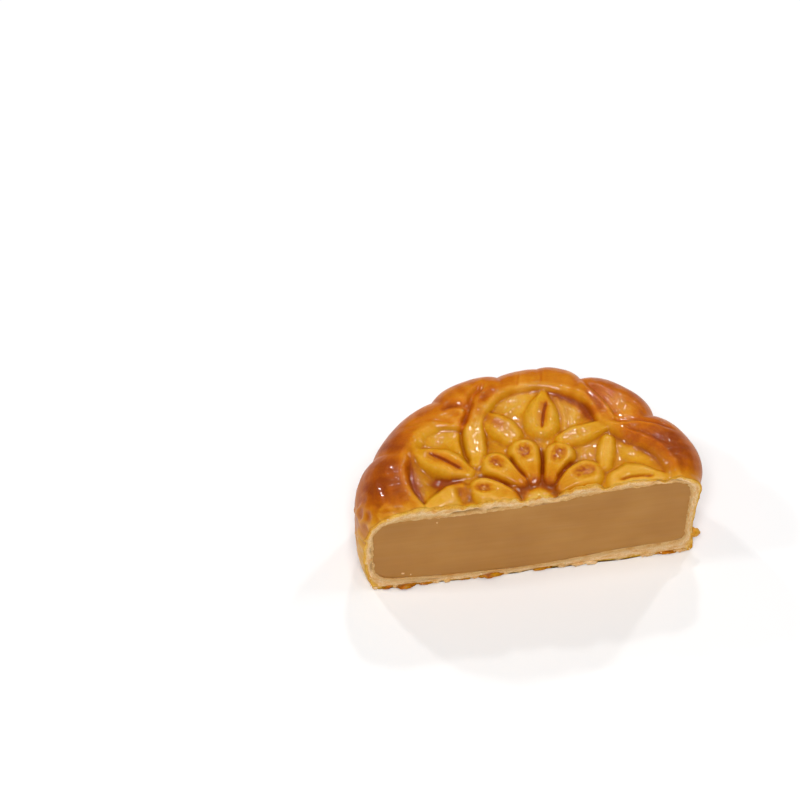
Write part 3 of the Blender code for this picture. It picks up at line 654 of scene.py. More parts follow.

# %% [markdown]
# ## How brown the skin is, and its painted shade
# Colour on a baked glaze is not a texture laid over the form: it comes from it. The shoulder stands nearest
# the heat and goes red brown, egg pools in narrow grooves and darkens there, the wide sunk fields stay pale
# gold, and the dough near the cut and low on the wall is palest. Shade is painted in as well: narrow grooves,
# broad recesses and steep sides get painted shade, darker and redder, and the raised tops get painted light.
# So each point gets three values from its place and its depth: how brown it is, how ruddy, and how thick the
# egg lies. A few strokes make given places darker or paler; along grooves, slits and pits they add painted
# shade as well as brown.

# %% Browning and painted shade
CAVITY_STEPS = 6
# narrow grooves: partly browner from pooled egg, partly painted shade
NARROW_REACH, NARROW_BROWN_AND_SHADE, NARROW_RUDDY, NARROW_LEAST, NARROW_MOST = 0.65, 0.5, 1.4, -0.1, 0.3
# broad recesses: painted shade, and painted light on what stands above its surroundings
BROAD_REACH, BROAD_PAINTED_SHADE, BROAD_LEAST, BROAD_MOST = 1.8, 0.16, -0.8, 1.2
# steep sides: painted shade
STEEP, STEEP_POWER, SIDE_PAINTED_SHADE, SIDE_RUDDY = 1.6, 1.5, 0.04, 0.6
# the raised tops of the carving are painted paler: painted light
PANEL_BROWN, PAINTED_LIGHT_ON_TOPS, PANEL_TOPS, PANEL_OVERLAP, PANEL_FADE = 0.62, 0.36, 2.1, 1, 3
PETAL_BROWN, PETAL_RUDDY, BLOTCH_SIZE, BLOTCHES = 0.36, 0.7, 0.8, (0.95, 1.2, 1.8)  # mean, swing, most
WASH_RUDDY, WASH_LEAST = 2.5, 0.5
# strokes that darken or pale given places; along grooves, slits and pits they are painted shade as well as brown
WASHES = (
    # spread, amount (a minus sign is paler), then x and y of each point
    (1.2, 0.34, 7.8, 28.6, 11.5, 26.8, 14.4, 23.8, 16.2, 20.8),
    (1.4, 0.32, 15.6, 23, 16.4, 20.4),
    (0.6, 0.24, 9.6, 8.6, 7.1, 6.4, 4.9, 4.4),
    (0.5, 0.2, 2.7, 13, 2.5, 9.5, 1.8, 6),
    (0.5, 0.16, -4.9, 11.6, -4, 8.6, -2.2, 5.6),
    (0.5, 0.16, -13, 7.7, -9.8, 6.6, -6.6, 4.2),
    (1.5, 0.22, -28.2, 16, -28.6, 12, -28, 6),
    (1.1, 0.5, -24, 8.2, -21, 7.2, -18, 6.8),
    (1.6, 0.3, -23, 6.6, -20.6, 5.6),
    (1.6, 0.3, -17.4, 5, -17.4, 2.6, -17.8, 0.4),
    (1, 0.35, -29.2, 13, -29.2, 8, -27.2, 3),
    (2, 0.26, -32.6, 13, -33, 9, -32.4, 5, -31, 2),
    (1.7, 0.22, 21.4, 14.4, 24.8, 11.8, 28.2, 8.8, 30.8, 5, 31.8, 1.6),
    (2, 0.3, 24, 15, 29, 12.2, 33.6, 8, 35, 3),
    (2.4, 0.46, 31, 15, 35.6, 10.6, 38, 5.6, 38.4, 1),
    (1, 0.3, 17, 27, 18.2, 24.4, 19, 21.6),
    (0.9, 0.35, -20, 27.2, -16, 27.8, -12.4, 27.6, -13.6, 24.2, -15.2, 21.6),
    (1.3, 0.25, -9.4, 28.6, -8, 30, -6, 31.2),
    (1.3, 0.3, 4.2, 20, 5, 23, 6, 26),
    (1.5, 0.28, -5, 20.4, -7.4, 22.4, -9, 24),
    (1.6, 0.3, -17, 10, -20.4, 12.8, -23.6, 15.4),
    (0.35, 0.35, 3.8, 18.6, 4.8, 22.4, 6.2, 26),
    (0.35, 0.35, 19.6, 1.3, 24, 1.5, 27.6, 1.5),
    (0.35, 0.35, -17, 10, -20.4, 12.8, -23.6, 15.4),
    (2.2, 0.25, 20, 30.4, 26.4, 27.2, 29.4, 23),
    (3.2, 0.66, -31, 28, -35.6, 21, -38.6, 14, -39.6, 6),
    (1.4, 0.22, -30.8, 22, -32.4, 17, -34.6, 11),
    (1.2, 0.24, -34.8, 15, -36.6, 9, -36.8, 4),
    (2.4, -0.34, -4, 27.4, -1, 27.8, 1, 29.2, -0.6, 23.8),
    (1.4, -0.3, 12.6, 24.4, 12.4, 21.8, 11.4, 19.4),
    (1.6, -0.12, 11.6, 10.6, 13.6, 11.6, 15.2, 12.2),
    (2.2, -0.22, -24.6, 20, -20.6, 20.2, -17, 19),
    (1.4, -0.16, -22.6, 15.6, -19, 14.2, -16, 11.6),
    (1.2, -0.16, -12.8, 14, -12.6, 18, -12.4, 21),
    (1.5, 0.05, 9.4, 14.4, 12.6, 15.8, 17.4, 17.2),
    (1.2, -0.18, 17.4, 8, 18.2, 11, 18.8, 13.4),
    (2, -0.14, 22, 9.6, 24.6, 7.8, 26.6, 6.6),
    (1.6, -0.14, -25.6, 1.4, -22.8, 2.6, -21, 4),
    (1.6, 0.26, -26, 27, -21, 28.6, -15.4, 29),
    (1.4, 0.24, -14, 33, -17.4, 31.6, -21, 30.4),
    (1.6, 0.22, 26, 29, 30, 25, 32, 20.4),
    (1.2, 0.26, 27.4, 20.4, 31.6, 17.8, 35.6, 13.6),
    (1.6, -0.24, -39, 1.2, -35, 1.8, -31, 1.6),
    (1.2, -0.2, 33.4, 1, 36.6, 1.2, 39.4, 1.2),
    (2.4, -0.16, 23, 24, 24.6, 21, 26, 19.6),
    (1.8, -0.3, -1.6, 0.2, 0, 0.8, 1.6, 0.2),
)
MOAT_BROWN, MOAT_INWARD, MOAT_WASH = 0.22, 0.3, 1.2
CENTRE_BROWN, CENTRE_RUDDY, CENTRE_FROM, CENTRE_TO, CENTRE_EDGE = 0.2, 0.6, 12.5, 5.5, 1.5
RIM_RUDDY = 0.8
RIM_TONES = (
    # direction, browning of the rim
    (0, 0.62), (14, 0.62), (25, 0.52), (33, 0.42), (41, 0.22), (48, 0.4), (58, 0.52), (64, 0.42), (72, 0.4),
    (80, 0.4), (82.5, 0.17), (88.5, 0.17), (91, 0.43), (104, 0.46), (112, 0.34), (122, 0.3), (132, 0.36),
    (142, 0.56), (152, 0.62), (166, 0.56), (180, 0.5),
)
WALL_LEVELS = (0, 1.5, 8, 20, 28, 34)
WALL_BROWN = (0.62, 0.52, 0.44, 0.5, 0.58, 0.6)
CREASE_PALER, CREASE_REACH = 0.14, 3.5
CORNER_DIRECTION, CORNER_REACH, CORNER_HEIGHT, CORNER_PALER = 183, 13, 14, 0.55
STREAK, STREAK_TURN, STREAK_HEIGHT, STREAKS_IN_PANELS = 0.24, 3.5, 14, 0.4
PALE_NEAR_CUT, LESS_RUDDY_NEAR_CUT, CUT_REACH = 0.22, 0.6, 2
CRACKLE_PALER, CRACKLE_SHARE, CRACKLE_LESS_RUDDY = 0.6, 0.45, 0.3
POOL_DEPTH, POOL_NARROW = 1.6, 1.2
RIM_EGG, PETAL_EGG, WALL_EGG = 0.45, 0.4, 0.1


def surroundings(f, reach):
    """How far each point of the top lies below its surroundings, and how steep they are."""
    x, y, z = f["places"].T
    turns = np.arange(CAVITY_STEPS) * 2 * math.pi / CAVITY_STEPS
    ring = [top_relief(x + reach * math.cos(a), y + reach * math.sin(a), f["degrees"]) for a in turns]
    slope = np.hypot(np.cos(turns) @ ring, np.sin(turns) @ ring) * 2 / (CAVITY_STEPS * reach)
    return np.mean(ring, axis=0) - f["relief"], slope


def browning(f):
    """How brown each point is, baked brown with painted shade in grooves and recesses and painted light on raised
    tops, how ruddy (0 is a golden and 1 a red brown) and how thick the egg lies.
    """
    x, y, z = f["places"].T
    weight, degrees = f["weight"], f["degrees"]
    in_panels = clipped((PANEL_OVERLAP - beyond_rim(x, y, degrees)) / PANEL_FADE)
    narrow, slope = surroundings(f, NARROW_REACH)
    # steep sides painted darker: painted shade
    side = SIDE_PAINTED_SHADE * clipped(slope / STEEP) ** STEEP_POWER
    mean, swing, most = BLOTCHES
    blotches = np.clip(mean + swing * wander(f["places"], BLOTCH_SIZE, 37), 0, most) * f["hollow"]
    # raised tops paler: painted light on them
    panel = PANEL_BROWN - PAINTED_LIGHT_ON_TOPS * clipped(f["relief"] / PANEL_TOPS)
    top = mixed(tabled(degrees, RIM_TONES), panel, in_panels)
    # narrow grooves and steep sides darker: painted shade, and in the grooves also brown from pooled egg
    top += NARROW_BROWN_AND_SHADE * np.clip(narrow, NARROW_LEAST, NARROW_MOST) + side
    # painted shade in broad recesses, and painted light where a point stands above its surroundings
    top += BROAD_PAINTED_SHADE * np.clip(surroundings(f, BROAD_REACH)[0], BROAD_LEAST, BROAD_MOST)
    top += PETAL_BROWN * blotches
    groove = np.clip(narrow, 0, NARROW_MOST)
    # grooves and steep sides are also made redder, as part of their painted shade
    ruddy = RIM_RUDDY * (1 - in_panels) + SIDE_RUDDY * side + NARROW_RUDDY * groove + PETAL_RUDDY * blotches
    # the strokes; where they darken grooves, slits and pits, that is painted shade as well as brown, made redder
    # too
    for line in WASHES:
        wash = stroke(x, y, *line, least=WASH_LEAST)
        top += wash
        ruddy += WASH_RUDDY * np.maximum(wash, 0)
    out = from_button(x, y)
    in_moat = bell((out - MOAT_RADIUS + MOAT_INWARD) / MOAT_WASH)
    near_centre = clipped((CENTRE_FROM - out) / (CENTRE_FROM - CENTRE_TO))
    near_centre *= clipped((out - BUTTON_RADIUS) / CENTRE_EDGE)
    top += MOAT_BROWN * in_moat + CENTRE_BROWN * near_centre
    ruddy += in_moat + CENTRE_RUDDY * near_centre
    creases = np.array([angle for angle, radius in CREASES])
    from_crease = np.min(np.abs(degrees[:, None] - creases), axis=1)
    in_corner = bell((degrees - CORNER_DIRECTION) / CORNER_REACH) * clipped(2 - z / CORNER_HEIGHT)
    wall = np.interp(z, WALL_LEVELS, WALL_BROWN) - CREASE_PALER * bell(from_crease / CREASE_REACH)
    wall -= CORNER_PALER * in_corner
    streak_space = np.column_stack([degrees / STREAK_TURN, z / STREAK_HEIGHT, np.zeros(x.shape)])
    streaks = STREAK * wander(streak_space, 1, 41) * (1 - (1 - STREAKS_IN_PANELS) * in_panels)
    at_cut = near_cut(y, CUT_REACH)
    brown = mixed(wall, top, weight) + streaks - PALE_NEAR_CUT * at_cut
    ruddy = clipped(ruddy + 1 - weight) * (1 - LESS_RUDDY_NEAR_CUT * at_cut) * (1 - in_corner)
    brown -= CRACKLE_PALER * f["crackled"] * (f["ridge"] - CRACKLE_SHARE)
    ruddy -= CRACKLE_LESS_RUDDY * f["crackled"] * f["ridge"]
    pooled = mixed(RIM_EGG, 1 - clipped(f["relief"] / POOL_DEPTH) + POOL_NARROW * groove, in_panels)
    egg = mixed(WALL_EGG, clipped(pooled + PETAL_EGG * f["hollow"]), weight)
    return {"browning": clipped(brown), "ruddy": np.maximum(ruddy, 0), "egg": np.maximum(egg, f["crackled"])}


looks = browning(facts)
print("browning from", looks["browning"].min().round(2), "to", looks["browning"].max().round(2))

# %% [markdown]
# ## The hollow and the cut
# Inside, the skin of the shell follows the lump of paste. That surface hardly shows, so it has few steps
# around, but along the cut it has just as many points as the outside. That lets bridge_loops join the two open
# borders with one strip of faces, the cut itself, and subdivide_edges makes it fine enough to crumble.

# %% The hollow behind the cut
SHELL_SIDE, WAIST_SHARE = 2, 0.75
PASTE_LOBES = 0.6
PASTE_STATIONS = (-38, -20, 0, 20, 38)
PASTE_TOPS = (29.4, 28.3, 28.9, 31.3, 31.5)
PASTE_BOTTOMS = (4.6, 2.7, 2.2, 4.9, 5.9)
PASTE_SHOULDER_WIDTHS = (5, 6, 7, 7.5, 8)
PASTE_SHOULDER_DROPS = (4.5, 6, 7, 7, 6.5)
PASTE_FOOT_ROUNDS = (2.2, 3, 3, 4, 5)
MIDDLE_HEIGHT = 16.5
RAGGED_EDGE, RAGGED_SIZE, RAGGED_REACH = 0.35, 1.3, 1.5


def paste_shape(degrees, radius, height):
    """The points of the paste's surface in millimetres."""
    rho = outline(degrees, PASTE_LOBES) - SHELL_SIDE - WAIST_SHARE * around(degrees, WAISTS)
    foot = around(degrees, PASTE_FOOT_ROUNDS)
    r = stretched_radius(radius, height, rho, around(degrees, PASTE_SHOULDER_WIDTHS), foot)
    turn = np.radians(degrees)
    x, y = r * np.cos(turn), r * np.sin(turn)
    low, high = np.interp(x, PASTE_STATIONS, PASTE_BOTTOMS), np.interp(x, PASTE_STATIONS, PASTE_TOPS)
    return np.column_stack([x, y, stretched_height(height, low, high, around(degrees, PASTE_SHOULDER_DROPS), foot)])


def float_layer(bm, name, values=()):
    layer = bm.verts.layers.float.get(name) or bm.verts.layers.float.new(name)
    for vert, value in zip(bm.verts, values):
        vert[layer] = value
    return layer


def open_edges(bm):
    return [edge for edge in bm.edges if len(edge.link_faces) == 1]


hollow, hollow_block = half_block(RINGS, HOLLOW_STEPS)
inside = paste_shape(*hollow_block)
to_middle = np.array([0, 0, MIDDLE_HEIGHT]) - inside
to_middle[:, 1] = 0
to_middle /= np.maximum(np.linalg.norm(to_middle, axis=1), 1)[:, None]
ragged = RAGGED_EDGE * (0.5 + wander(inside, RAGGED_SIZE, 5)) * near_cut(inside[:, 1], RAGGED_REACH)
float_layer(hollow, "across", np.ones(len(hollow.verts)))
for name in looks:
    float_layer(hollow, name)
wrapped(hollow, hollow_block, inside + to_middle * ragged[:, None])
hollow_mesh = bpy.data.meshes.new("hollow")
hollow.to_mesh(hollow_mesh)
hollow.free()
print("hollow has", len(hollow_mesh.vertices), "points")

# %% Joining skin and hollow across the cut
CUT_SLOT, CUT_ROWS = 1, 12
float_layer(skin, "across", np.zeros(len(skin.verts)))
for name, values in looks.items():
    float_layer(skin, name, values)
wrapped(skin, skin_block, facts["places"])
skin.from_mesh(hollow_mesh)
bpy.data.meshes.remove(hollow_mesh)
borders = open_edges(skin)
across_layer = float_layer(skin, "across")
rim = sorted({v for edge in borders for v in edge.verts}, key=lambda v: v.co[:])
skin_rim = [v.co.copy() for v in rim if v[across_layer] < 0.5]
paste_rim = [v.co.copy() for v in rim if v[across_layer] > 0.5]
rungs = set()
for side in (1, -1):
    half_border = [edge for edge in borders if side * (edge.verts[0].co.x + edge.verts[1].co.x) > 0]
    bridge = bmesh.ops.bridge_loops(skin, edges=half_border)
    rungs.update(bridge["edges"])
    for face in bridge["faces"]:
        face.material_index = CUT_SLOT
rungs = sorted(rungs, key=lambda edge: edge.verts[0].co[:])
bmesh.ops.subdivide_edges(skin, edges=rungs, cuts=CUT_ROWS - 1, use_grid_fill=True)
bmesh.ops.recalc_face_normals(skin, faces=skin.faces)
print(len(borders), "edges joined by", len(rungs), "rungs; open edges left:", len(open_edges(skin)))

# %% [markdown]
# ## The crumb of the cut
# A knife drags through baked pastry rather than slicing it: the face is rough and layered, with a few slots
# where two layers of dough never joined, and a slightly rounded rim. Only points of the cut move, and only
# a few tenths of a millimetre, in and out of its plane.

# %% Roughening the cut
CRUMB, CRUMB_SIZE = 0.24, 1.2
FINE_CRUMB, FINE_CRUMB_SIZE = 0.35, 0.5
LAYERS, LAYER_LENGTH, LAYERS_ACROSS = 0.26, 2.2, 3.5
FIXED_EDGE = 0.1
RIM_ROUND, RIM_SHARE = 0.45, 0.2
SLOT_DEPTH = 0.8
SLOTS = (
    # spread, amount, then x and z of each point on the cut
    (0.42, 1, -21, 29.4, -17, 29.6, -13.4, 29.7),
    (0.3, 0.8, -12.4, 29.3, -10.6, 29.6, -9.4, 29.4),
    (0.3, 0.5, -40, 19, -40.1, 17.8, -40.1, 16.4),
    (0.3, 0.6, -39.9, 12.8, -40, 10.6, -39.8, 8.4),
    (0.22, 0.7, 3, 30.4, 6, 31.1, 8.4, 31.6),
    (0.2, 0.7, 27, 32.4, 31.6, 32.4, 35, 31.2),
    (0.25, 0.6, -31, 2, -27, 1.7, -23, 1.5),
)


def nearest(points, targets):
    """Distance from each point to the nearest target."""
    tree = KDTree(len(targets))
    for i, target in enumerate(targets):
        tree.insert(target, i)
    tree.balance()
    return np.array([tree.find(point)[2] for point in points])


slot_layer = float_layer(skin, "slot")
cut_faces = {f for f in skin.faces if f.material_index == CUT_SLOT}
cut_verts = sorted({v for f in cut_faces for v in f.verts}, key=lambda v: v.co[:])
places = np.array([v.co for v in cut_verts])
from_skin, from_paste = nearest(places, skin_rim), nearest(places, paste_rim)
share = from_skin / (from_skin + from_paste)
bumps = CRUMB * (wander(places, CRUMB_SIZE, 2) + FINE_CRUMB * wander(places, FINE_CRUMB_SIZE, 9))
layer_space = np.column_stack([places[:, 0] / LAYER_LENGTH, share * LAYERS_ACROSS, places[:, 2] / LAYER_LENGTH])
bumps = (bumps + LAYERS * wander(layer_space, 1, 6)) * clipped(share / FIXED_EDGE)
slots = np.max([stroke(places[:, 0], places[:, 2], *slot) for slot in SLOTS], axis=0)
for vert, bump, slot, part in zip(cut_verts, bumps, slots, share):
    vert.co.y += bump + SLOT_DEPTH * slot + RIM_ROUND * bell(part / RIM_SHARE)
    vert[slot_layer], vert[across_layer] = slot, part
for face in skin.faces:  # the hollow is pastry crumb too
    if min(v[across_layer] for v in face.verts) == 1:
        face.material_index = CUT_SLOT
print(len(cut_verts), "points on the cut")

# %% [markdown]
# ## Egg-glazed baked skin
# Wheat dough brushed with egg yolk bakes to a clear, hard film over a skin that runs from pale gold to red
# brown. So the material is a coloured base, with some light travelling below the surface, under a smooth
# coat. The film is wiped thin on the tops, which stay satin, and pools in the recesses, where it glints, so
# the coat's weight follows the value "egg". Real egg has an index of about 1.5. A higher one with a low weight
# gives the same few glints without a milky veil over the colour. Two ramps hold the golden and the ruddy
# shades. Noises of the brush, the pores and the film's dimples break it up.

# %% The skin's material
BRUSH_MM, PORE_MM, DIMPLE_MM = 2.6, 0.5, 1.1
RIPPLE_MM, DIMPLE_DEPTH_MM = 0.1, 0.014
BRUSH_TONES, PORE_TONES = 0.5, 0.22
THIN_EGG, POOLED_EGG = 0.05, 0.16
GOLDEN = ((0, "D9A03C"), (0.25, "D0951E"), (0.5, "C68606"), (0.75, "B57302"), (1, "9A5F01"))
RUDDY = ((0, "D68C2C"), (0.25, "C8760C"), (0.5, "BC6401"), (0.75, "A85001"), (1, "8E3C01"))


def per_mm(millimetres):
    """Noise scale for a feature of this size, in a scene in metres."""
    return 1 / (millimetres * MM)


def baked_skin():
    mat, add = new_material("egg_glazed_baked_skin")
    where = add("TexCoord").outputs["Object"]
    baked, ruddiness, egg = [add("Attribute", attribute_name=name).outputs["Fac"]
                             for name in ("browning", "ruddy", "egg")]
    brush, pores, dimples = [
        add("TexNoise", {"Vector": where, "Scale": per_mm(size), "Detail": detail, "Roughness": rough})
        for size, detail, rough in ((BRUSH_MM, 3, 0.6), (PORE_MM, 2, 0.5), (DIMPLE_MM, 2, 0.4))]
    streaks = add("Math", {0: brush, 1: BRUSH_TONES, 2: -BRUSH_TONES / 2}, operation="MULTIPLY_ADD")
    freckles = add("Math", {0: pores, 1: PORE_TONES, 2: -PORE_TONES / 2}, operation="MULTIPLY_ADD")
    broken = add("Math", {0: streaks, 1: freckles})
    total = add("Math", {0: baked, 1: broken}, use_clamp=True)
    golden = add("ValToRGB", {"Fac": total}, GOLDEN)
    red = add("ValToRGB", {"Fac": total}, RUDDY)
    colour = add("Mix", {0: ruddiness, 6: golden, 7: red}, data_type="RGBA")
    ripple = add("Bump", {"Height": pores, "Strength": 0.5, "Distance": RIPPLE_MM * MM})
    sparkle = add("Bump", {"Height": dimples, "Strength": 1, "Distance": DIMPLE_DEPTH_MM * MM})
    film = add("MapRange", {"Value": egg, "To Min": THIN_EGG, "To Max": POOLED_EGG})
    dull = add("MapRange", {"Value": brush, "To Min": 0.26, "To Max": 0.46})
    shader = add("BsdfPrincipled", {
        "Base Color": colour, "Roughness": dull, "Normal": ripple, "IOR": 1.45, "Specular IOR Level": 0.1,
        "Subsurface Weight": 0.35, "Subsurface Radius": (1, 0.45, 0.12), "Subsurface Scale": 1.2 * MM,
        "Coat Weight": film, "Coat Normal": sparkle, "Coat Roughness": 0.05, "Coat IOR": 2.4,
    })
    add("OutputMaterial", {"Surface": shader})
    return mat


skin_mat = baked_skin()
print(skin_mat.name, "with", len(GOLDEN) + len(RUDDY), "shades")

# %% [markdown]
# ## Pastry crumb
# The inside of the crust is short, dry, matte pastry with specks of flour and tiny shadows between the grains.
# Right under the skin it is golden, then cream, and tan where it drew oil from the paste. The value "across"
# runs from 0 at the skin to 1 at the paste, so it picks the shade, and it also lays a noise out in thin layers,
# as the dough was folded. The slots, gaps where two layers never joined, get a dark painted shade.

# %% The crumb's material
GRAIN_MM, GRAIN_BUMP_MM = 0.32, 0.12
LAYER_TONES_ACROSS = 4.9
CRUMB_SHADES = ((0.2, "F0B81C"), (0.38, "F4C65A"), (0.58, "FAD8A8"), (0.85, "F4D4A4"), (1, "E4BE84"))
SPECKLES = ((0.3, "E4D4BE"), (0.46, "F4ECE0"), (0.62, "FFFFFF"))
LAYER_TONES = ((0.32, "ECD0A4"), (0.48, "FAF0DE"), (0.62, "FFFFFF"))
# colour of the slots: painted shade in the gaps between layers
SLOT_PAINTED_SHADE = "9A6A2C"


def pastry_crumb():
    mat, add = new_material("short_pastry_crumb")
    where = add("TexCoord").outputs["Object"]
    across, slot = [add("Attribute", attribute_name=name).outputs["Fac"] for name in ("across", "slot")]
    grain = add("TexNoise", {"Vector": where, "Scale": per_mm(GRAIN_MM), "Detail": 4, "Roughness": 0.65})
    split = add("SeparateXYZ", {0: where})
    along, upward = [add("Math", {0: split.outputs[i], 1: per_mm(LAYER_LENGTH)}, operation="MULTIPLY")
                     for i in (0, 2)]
    through = add("Math", {0: across, 1: LAYER_TONES_ACROSS}, operation="MULTIPLY")
    sheets = add("CombineXYZ", {0: along, 1: through, 2: upward})
    layers = add("TexNoise", {"Vector": sheets, "Scale": 1, "Detail": 3})
    uneven = add("Math", {0: layers, 1: 0.4, 2: across}, operation="MULTIPLY_ADD")
    colour = add("ValToRGB", {"Fac": uneven}, CRUMB_SHADES)
    for noise_node, stops in ((layers, LAYER_TONES), (grain, SPECKLES)):
        tone = add("ValToRGB", {"Fac": noise_node}, stops)
        colour = add("Mix", {0: 1, 6: colour, 7: tone}, data_type="RGBA", blend_type="MULTIPLY")
    # painted shade in the slots
    colour = add("Mix", {0: slot, 6: colour, 7: linear(SLOT_PAINTED_SHADE)}, data_type="RGBA")
    rough = add("Bump", {"Height": grain, "Strength": 0.5, "Distance": GRAIN_BUMP_MM * MM})
    shader = add("BsdfPrincipled", {
        "Base Color": colour, "Roughness": 0.85, "Normal": rough, "IOR": 1.4, "Subsurface Weight": 0.2,
        "Subsurface Radius": (1, 0.6, 0.3), "Subsurface Scale": 0.8 * MM,
    })
    add("OutputMaterial", {"Surface": shader})
    return mat


crumb_mat = pastry_crumb()
print(crumb_mat.name, "with", len(CRUMB_SHADES), "shades")

# %% The shell as one piece


def finished_piece(name, bm, materials):
    """Smooths a bmesh, and turns its millimetres about the cake's axis into metres in the part's frame."""
    for face in bm.faces:
        face.smooth = True
    bmesh.ops.translate(bm, verts=bm.verts, vec=(0, CUT_PLANE, 0))
    bmesh.ops.scale(bm, verts=bm.verts, vec=(MM, MM, MM))
    obj = add_mesh(name, bm, materials)
    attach(obj, "root")
    print(name, "has", len(obj.data.polygons), "faces")
    return obj


for edge in skin.edges:  # the cut stays sharp where it turns into the hollow, and rounds into the skin
    on_border = len({face in cut_faces for face in edge.link_faces}) == 2
    edge.smooth = not on_border or edge.verts[0][across_layer] < 0.5
shell = finished_piece("baked_shell", skin, (skin_mat, crumb_mat))
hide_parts("crust")

# %% [markdown]
# ## Lotus seed paste
# Lotus seed paste is boiled, sieved and fried with sugar and oil until it is dense and smooth as fudge. The
# knife leaves it almost flat, with faint level marks. The lump is turned like the shell and closed at the cut
# with holes_fill. bisect_plane then divides the flat face, along and up, so that its slight waves are real.

# %% The lump of paste
PASTE_RINGS = {"top": 30, "shoulder": 10, "wall": 14, "foot": 8, "base": 20}
PASTE_STEPS = 48
GRID_STEP = 0.9
GRIDS = (
    # normal of the cuts, first and last level
    ((1, 0, 0), -39, 37),
    ((0, 0, 1), 3, 31),
)
KNIFE_WAVE, KNIFE_WAVE_SIZES = 0.1, (16, 1, 1.7)
PASTE_SET_BACK = 0.12
FACING_CUT = 0.99

paste, paste_block = half_block(PASTE_RINGS, PASTE_STEPS)
wrapped(paste, paste_block, paste_shape(*paste_block))
bmesh.ops.holes_fill(paste, edges=open_edges(paste))
bmesh.ops.recalc_face_normals(paste, faces=paste.faces)
for normal, first, last in GRIDS:
    for level in np.arange(first, last, GRID_STEP):
        flat = [f for f in paste.faces
                if abs(f.normal.y) > FACING_CUT and abs(f.calc_center_median().y) < SAME_POINT]
        geom = list({v for f in flat for v in f.verts} | {e for f in flat for e in f.edges}) + flat
        bmesh.ops.bisect_plane(paste, geom=geom, plane_co=Vector(normal) * float(level), plane_no=normal)
lid_verts = sorted({v for f in paste.faces for v in f.verts if abs(v.co.y) < SAME_POINT}, key=lambda v: v.co[:])
waves = KNIFE_WAVE * wander(np.array([v.co for v in lid_verts]), KNIFE_WAVE_SIZES, 4)
for vert, wave in zip(lid_verts, waves):
    vert.co.y += PASTE_SET_BACK + wave
print(len(lid_verts), "points of the paste on the cut")

# %% The paste's material
MARK_MM, MARK_STRETCH, FINE_MM, CLOUD_MM = 0.9, 0.06, 0.2, 14
PASTE_BUMP_MM = 0.08
PASTE_SHADES = ((0.45, "AF7630"), (0.7, "B77E36"), (0.95, "BF873F"))


def seed_paste():
    mat, add = new_material("smooth_lotus_seed_paste")
    where = add("TexCoord").outputs["Object"]
    long_way = add("Mapping", {"Vector": where, "Scale": (MARK_STRETCH, 1, 1)})
    marks = add("TexNoise", {"Vector": long_way, "Scale": per_mm(MARK_MM), "Detail": 3})
    fine = add("TexNoise", {"Vector": where, "Scale": per_mm(FINE_MM), "Detail": 2})
    clouds = add("TexNoise", {"Vector": where, "Scale": per_mm(CLOUD_MM), "Detail": 2})
    total = add("Math", {0: marks, 1: 0.35, 2: clouds}, operation="MULTIPLY_ADD")
    colour = add("ValToRGB", {"Fac": total}, PASTE_SHADES)
    height = add("Math", {0: fine, 1: 0.4, 2: marks}, operation="MULTIPLY_ADD")
    bump = add("Bump", {"Height": height, "Strength": 0.15, "Distance": PASTE_BUMP_MM * MM})
    shader = add("BsdfPrincipled", {
        "Base Color": colour, "Roughness": 0.52, "Normal": bump, "IOR": 1.45, "Specular IOR Level": 0.25,
        "Subsurface Weight": 0.15, "Subsurface Radius": (1, 0.55, 0.25), "Subsurface Scale": MM,
    })
    add("OutputMaterial", {"Surface": shader})
    return mat


block = finished_piece("paste_block", paste, [seed_paste()])
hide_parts("lotus_paste")

# %% [markdown]
# ## Flakes and crumbs
# The browned base broke where the knife came through, and ragged flakes of it stick out in front. Each is a
# small ball of dough, flattened and pushed in by noise. The same function makes the pale crumbs that cling
# to the broken edge, and three that the knife left on the paste.

# %% Flakes of the base
FLAKES = (
    # x, how far out, half length, thickness
    (-36.2, 0.9, 2, 1.9), (-31.6, 1.5, 4.4, 1.7), (-26.6, 0.8, 3, 1.3), (-17, 0.7, 3, 1.3), (-10.9, 1.5, 4.8, 1.7),
    (1.8, 0.8, 3.6, 1.3), (33, 0.5, 3.4, 0.9),
)
FLAKE_ROOT = 0.6
FINE, DENTED, LESS_DENTED = 4, 0.35, 0.25
DIPS, CHIPS, GRAINS, GRAIN_SHARE = 1.7, 3.1, 7, 0.2
SIDE_FLAKE = (38.7, 1.2, 6.6), (2.6, 1.5, 1.5)  # place and half sizes
FLAKE_BROWN, SIDE_FLAKE_BROWN, BROWN_SWING, BROWN_SIZE = 0.65, 0.1, 0.5, 0.9
FLAKE_RUDDY, RUDDY_SWING, RUDDY_SIZE = 0.3, 0.8, 1.3


def add_lump(bm, centre, half_sizes, seed, rounds=FINE, dent=DENTED):
    """Adds an uneven ball that lies inside its half sizes."""
    verts = bmesh.ops.create_icosphere(bm, subdivisions=rounds, radius=1)["verts"]
    for vert in verts:
        dip = 0.5 + 0.5 * noise.noise(vert.co * DIPS + Vector((seed, 0, 0)))
        chips = abs(noise.noise(vert.co * CHIPS + Vector((0, seed, 0))))
        chips += GRAIN_SHARE * abs(noise.noise(vert.co * GRAINS + Vector((0, 0, seed))))
        vert.co *= 1 - dent * (dip + chips)
    bmesh.ops.scale(bm, verts=verts, vec=half_sizes)
    bmesh.ops.translate(bm, verts=verts, vec=centre)


def add_ledge(bm, x, out_by, half_length, thickness, seed):
    """Adds a flake that lies on the ground and sticks out of the cut."""
    add_lump(bm, (x, FLAKE_ROOT, thickness / 2), (half_length, out_by + FLAKE_ROOT, thickness / 2), seed)


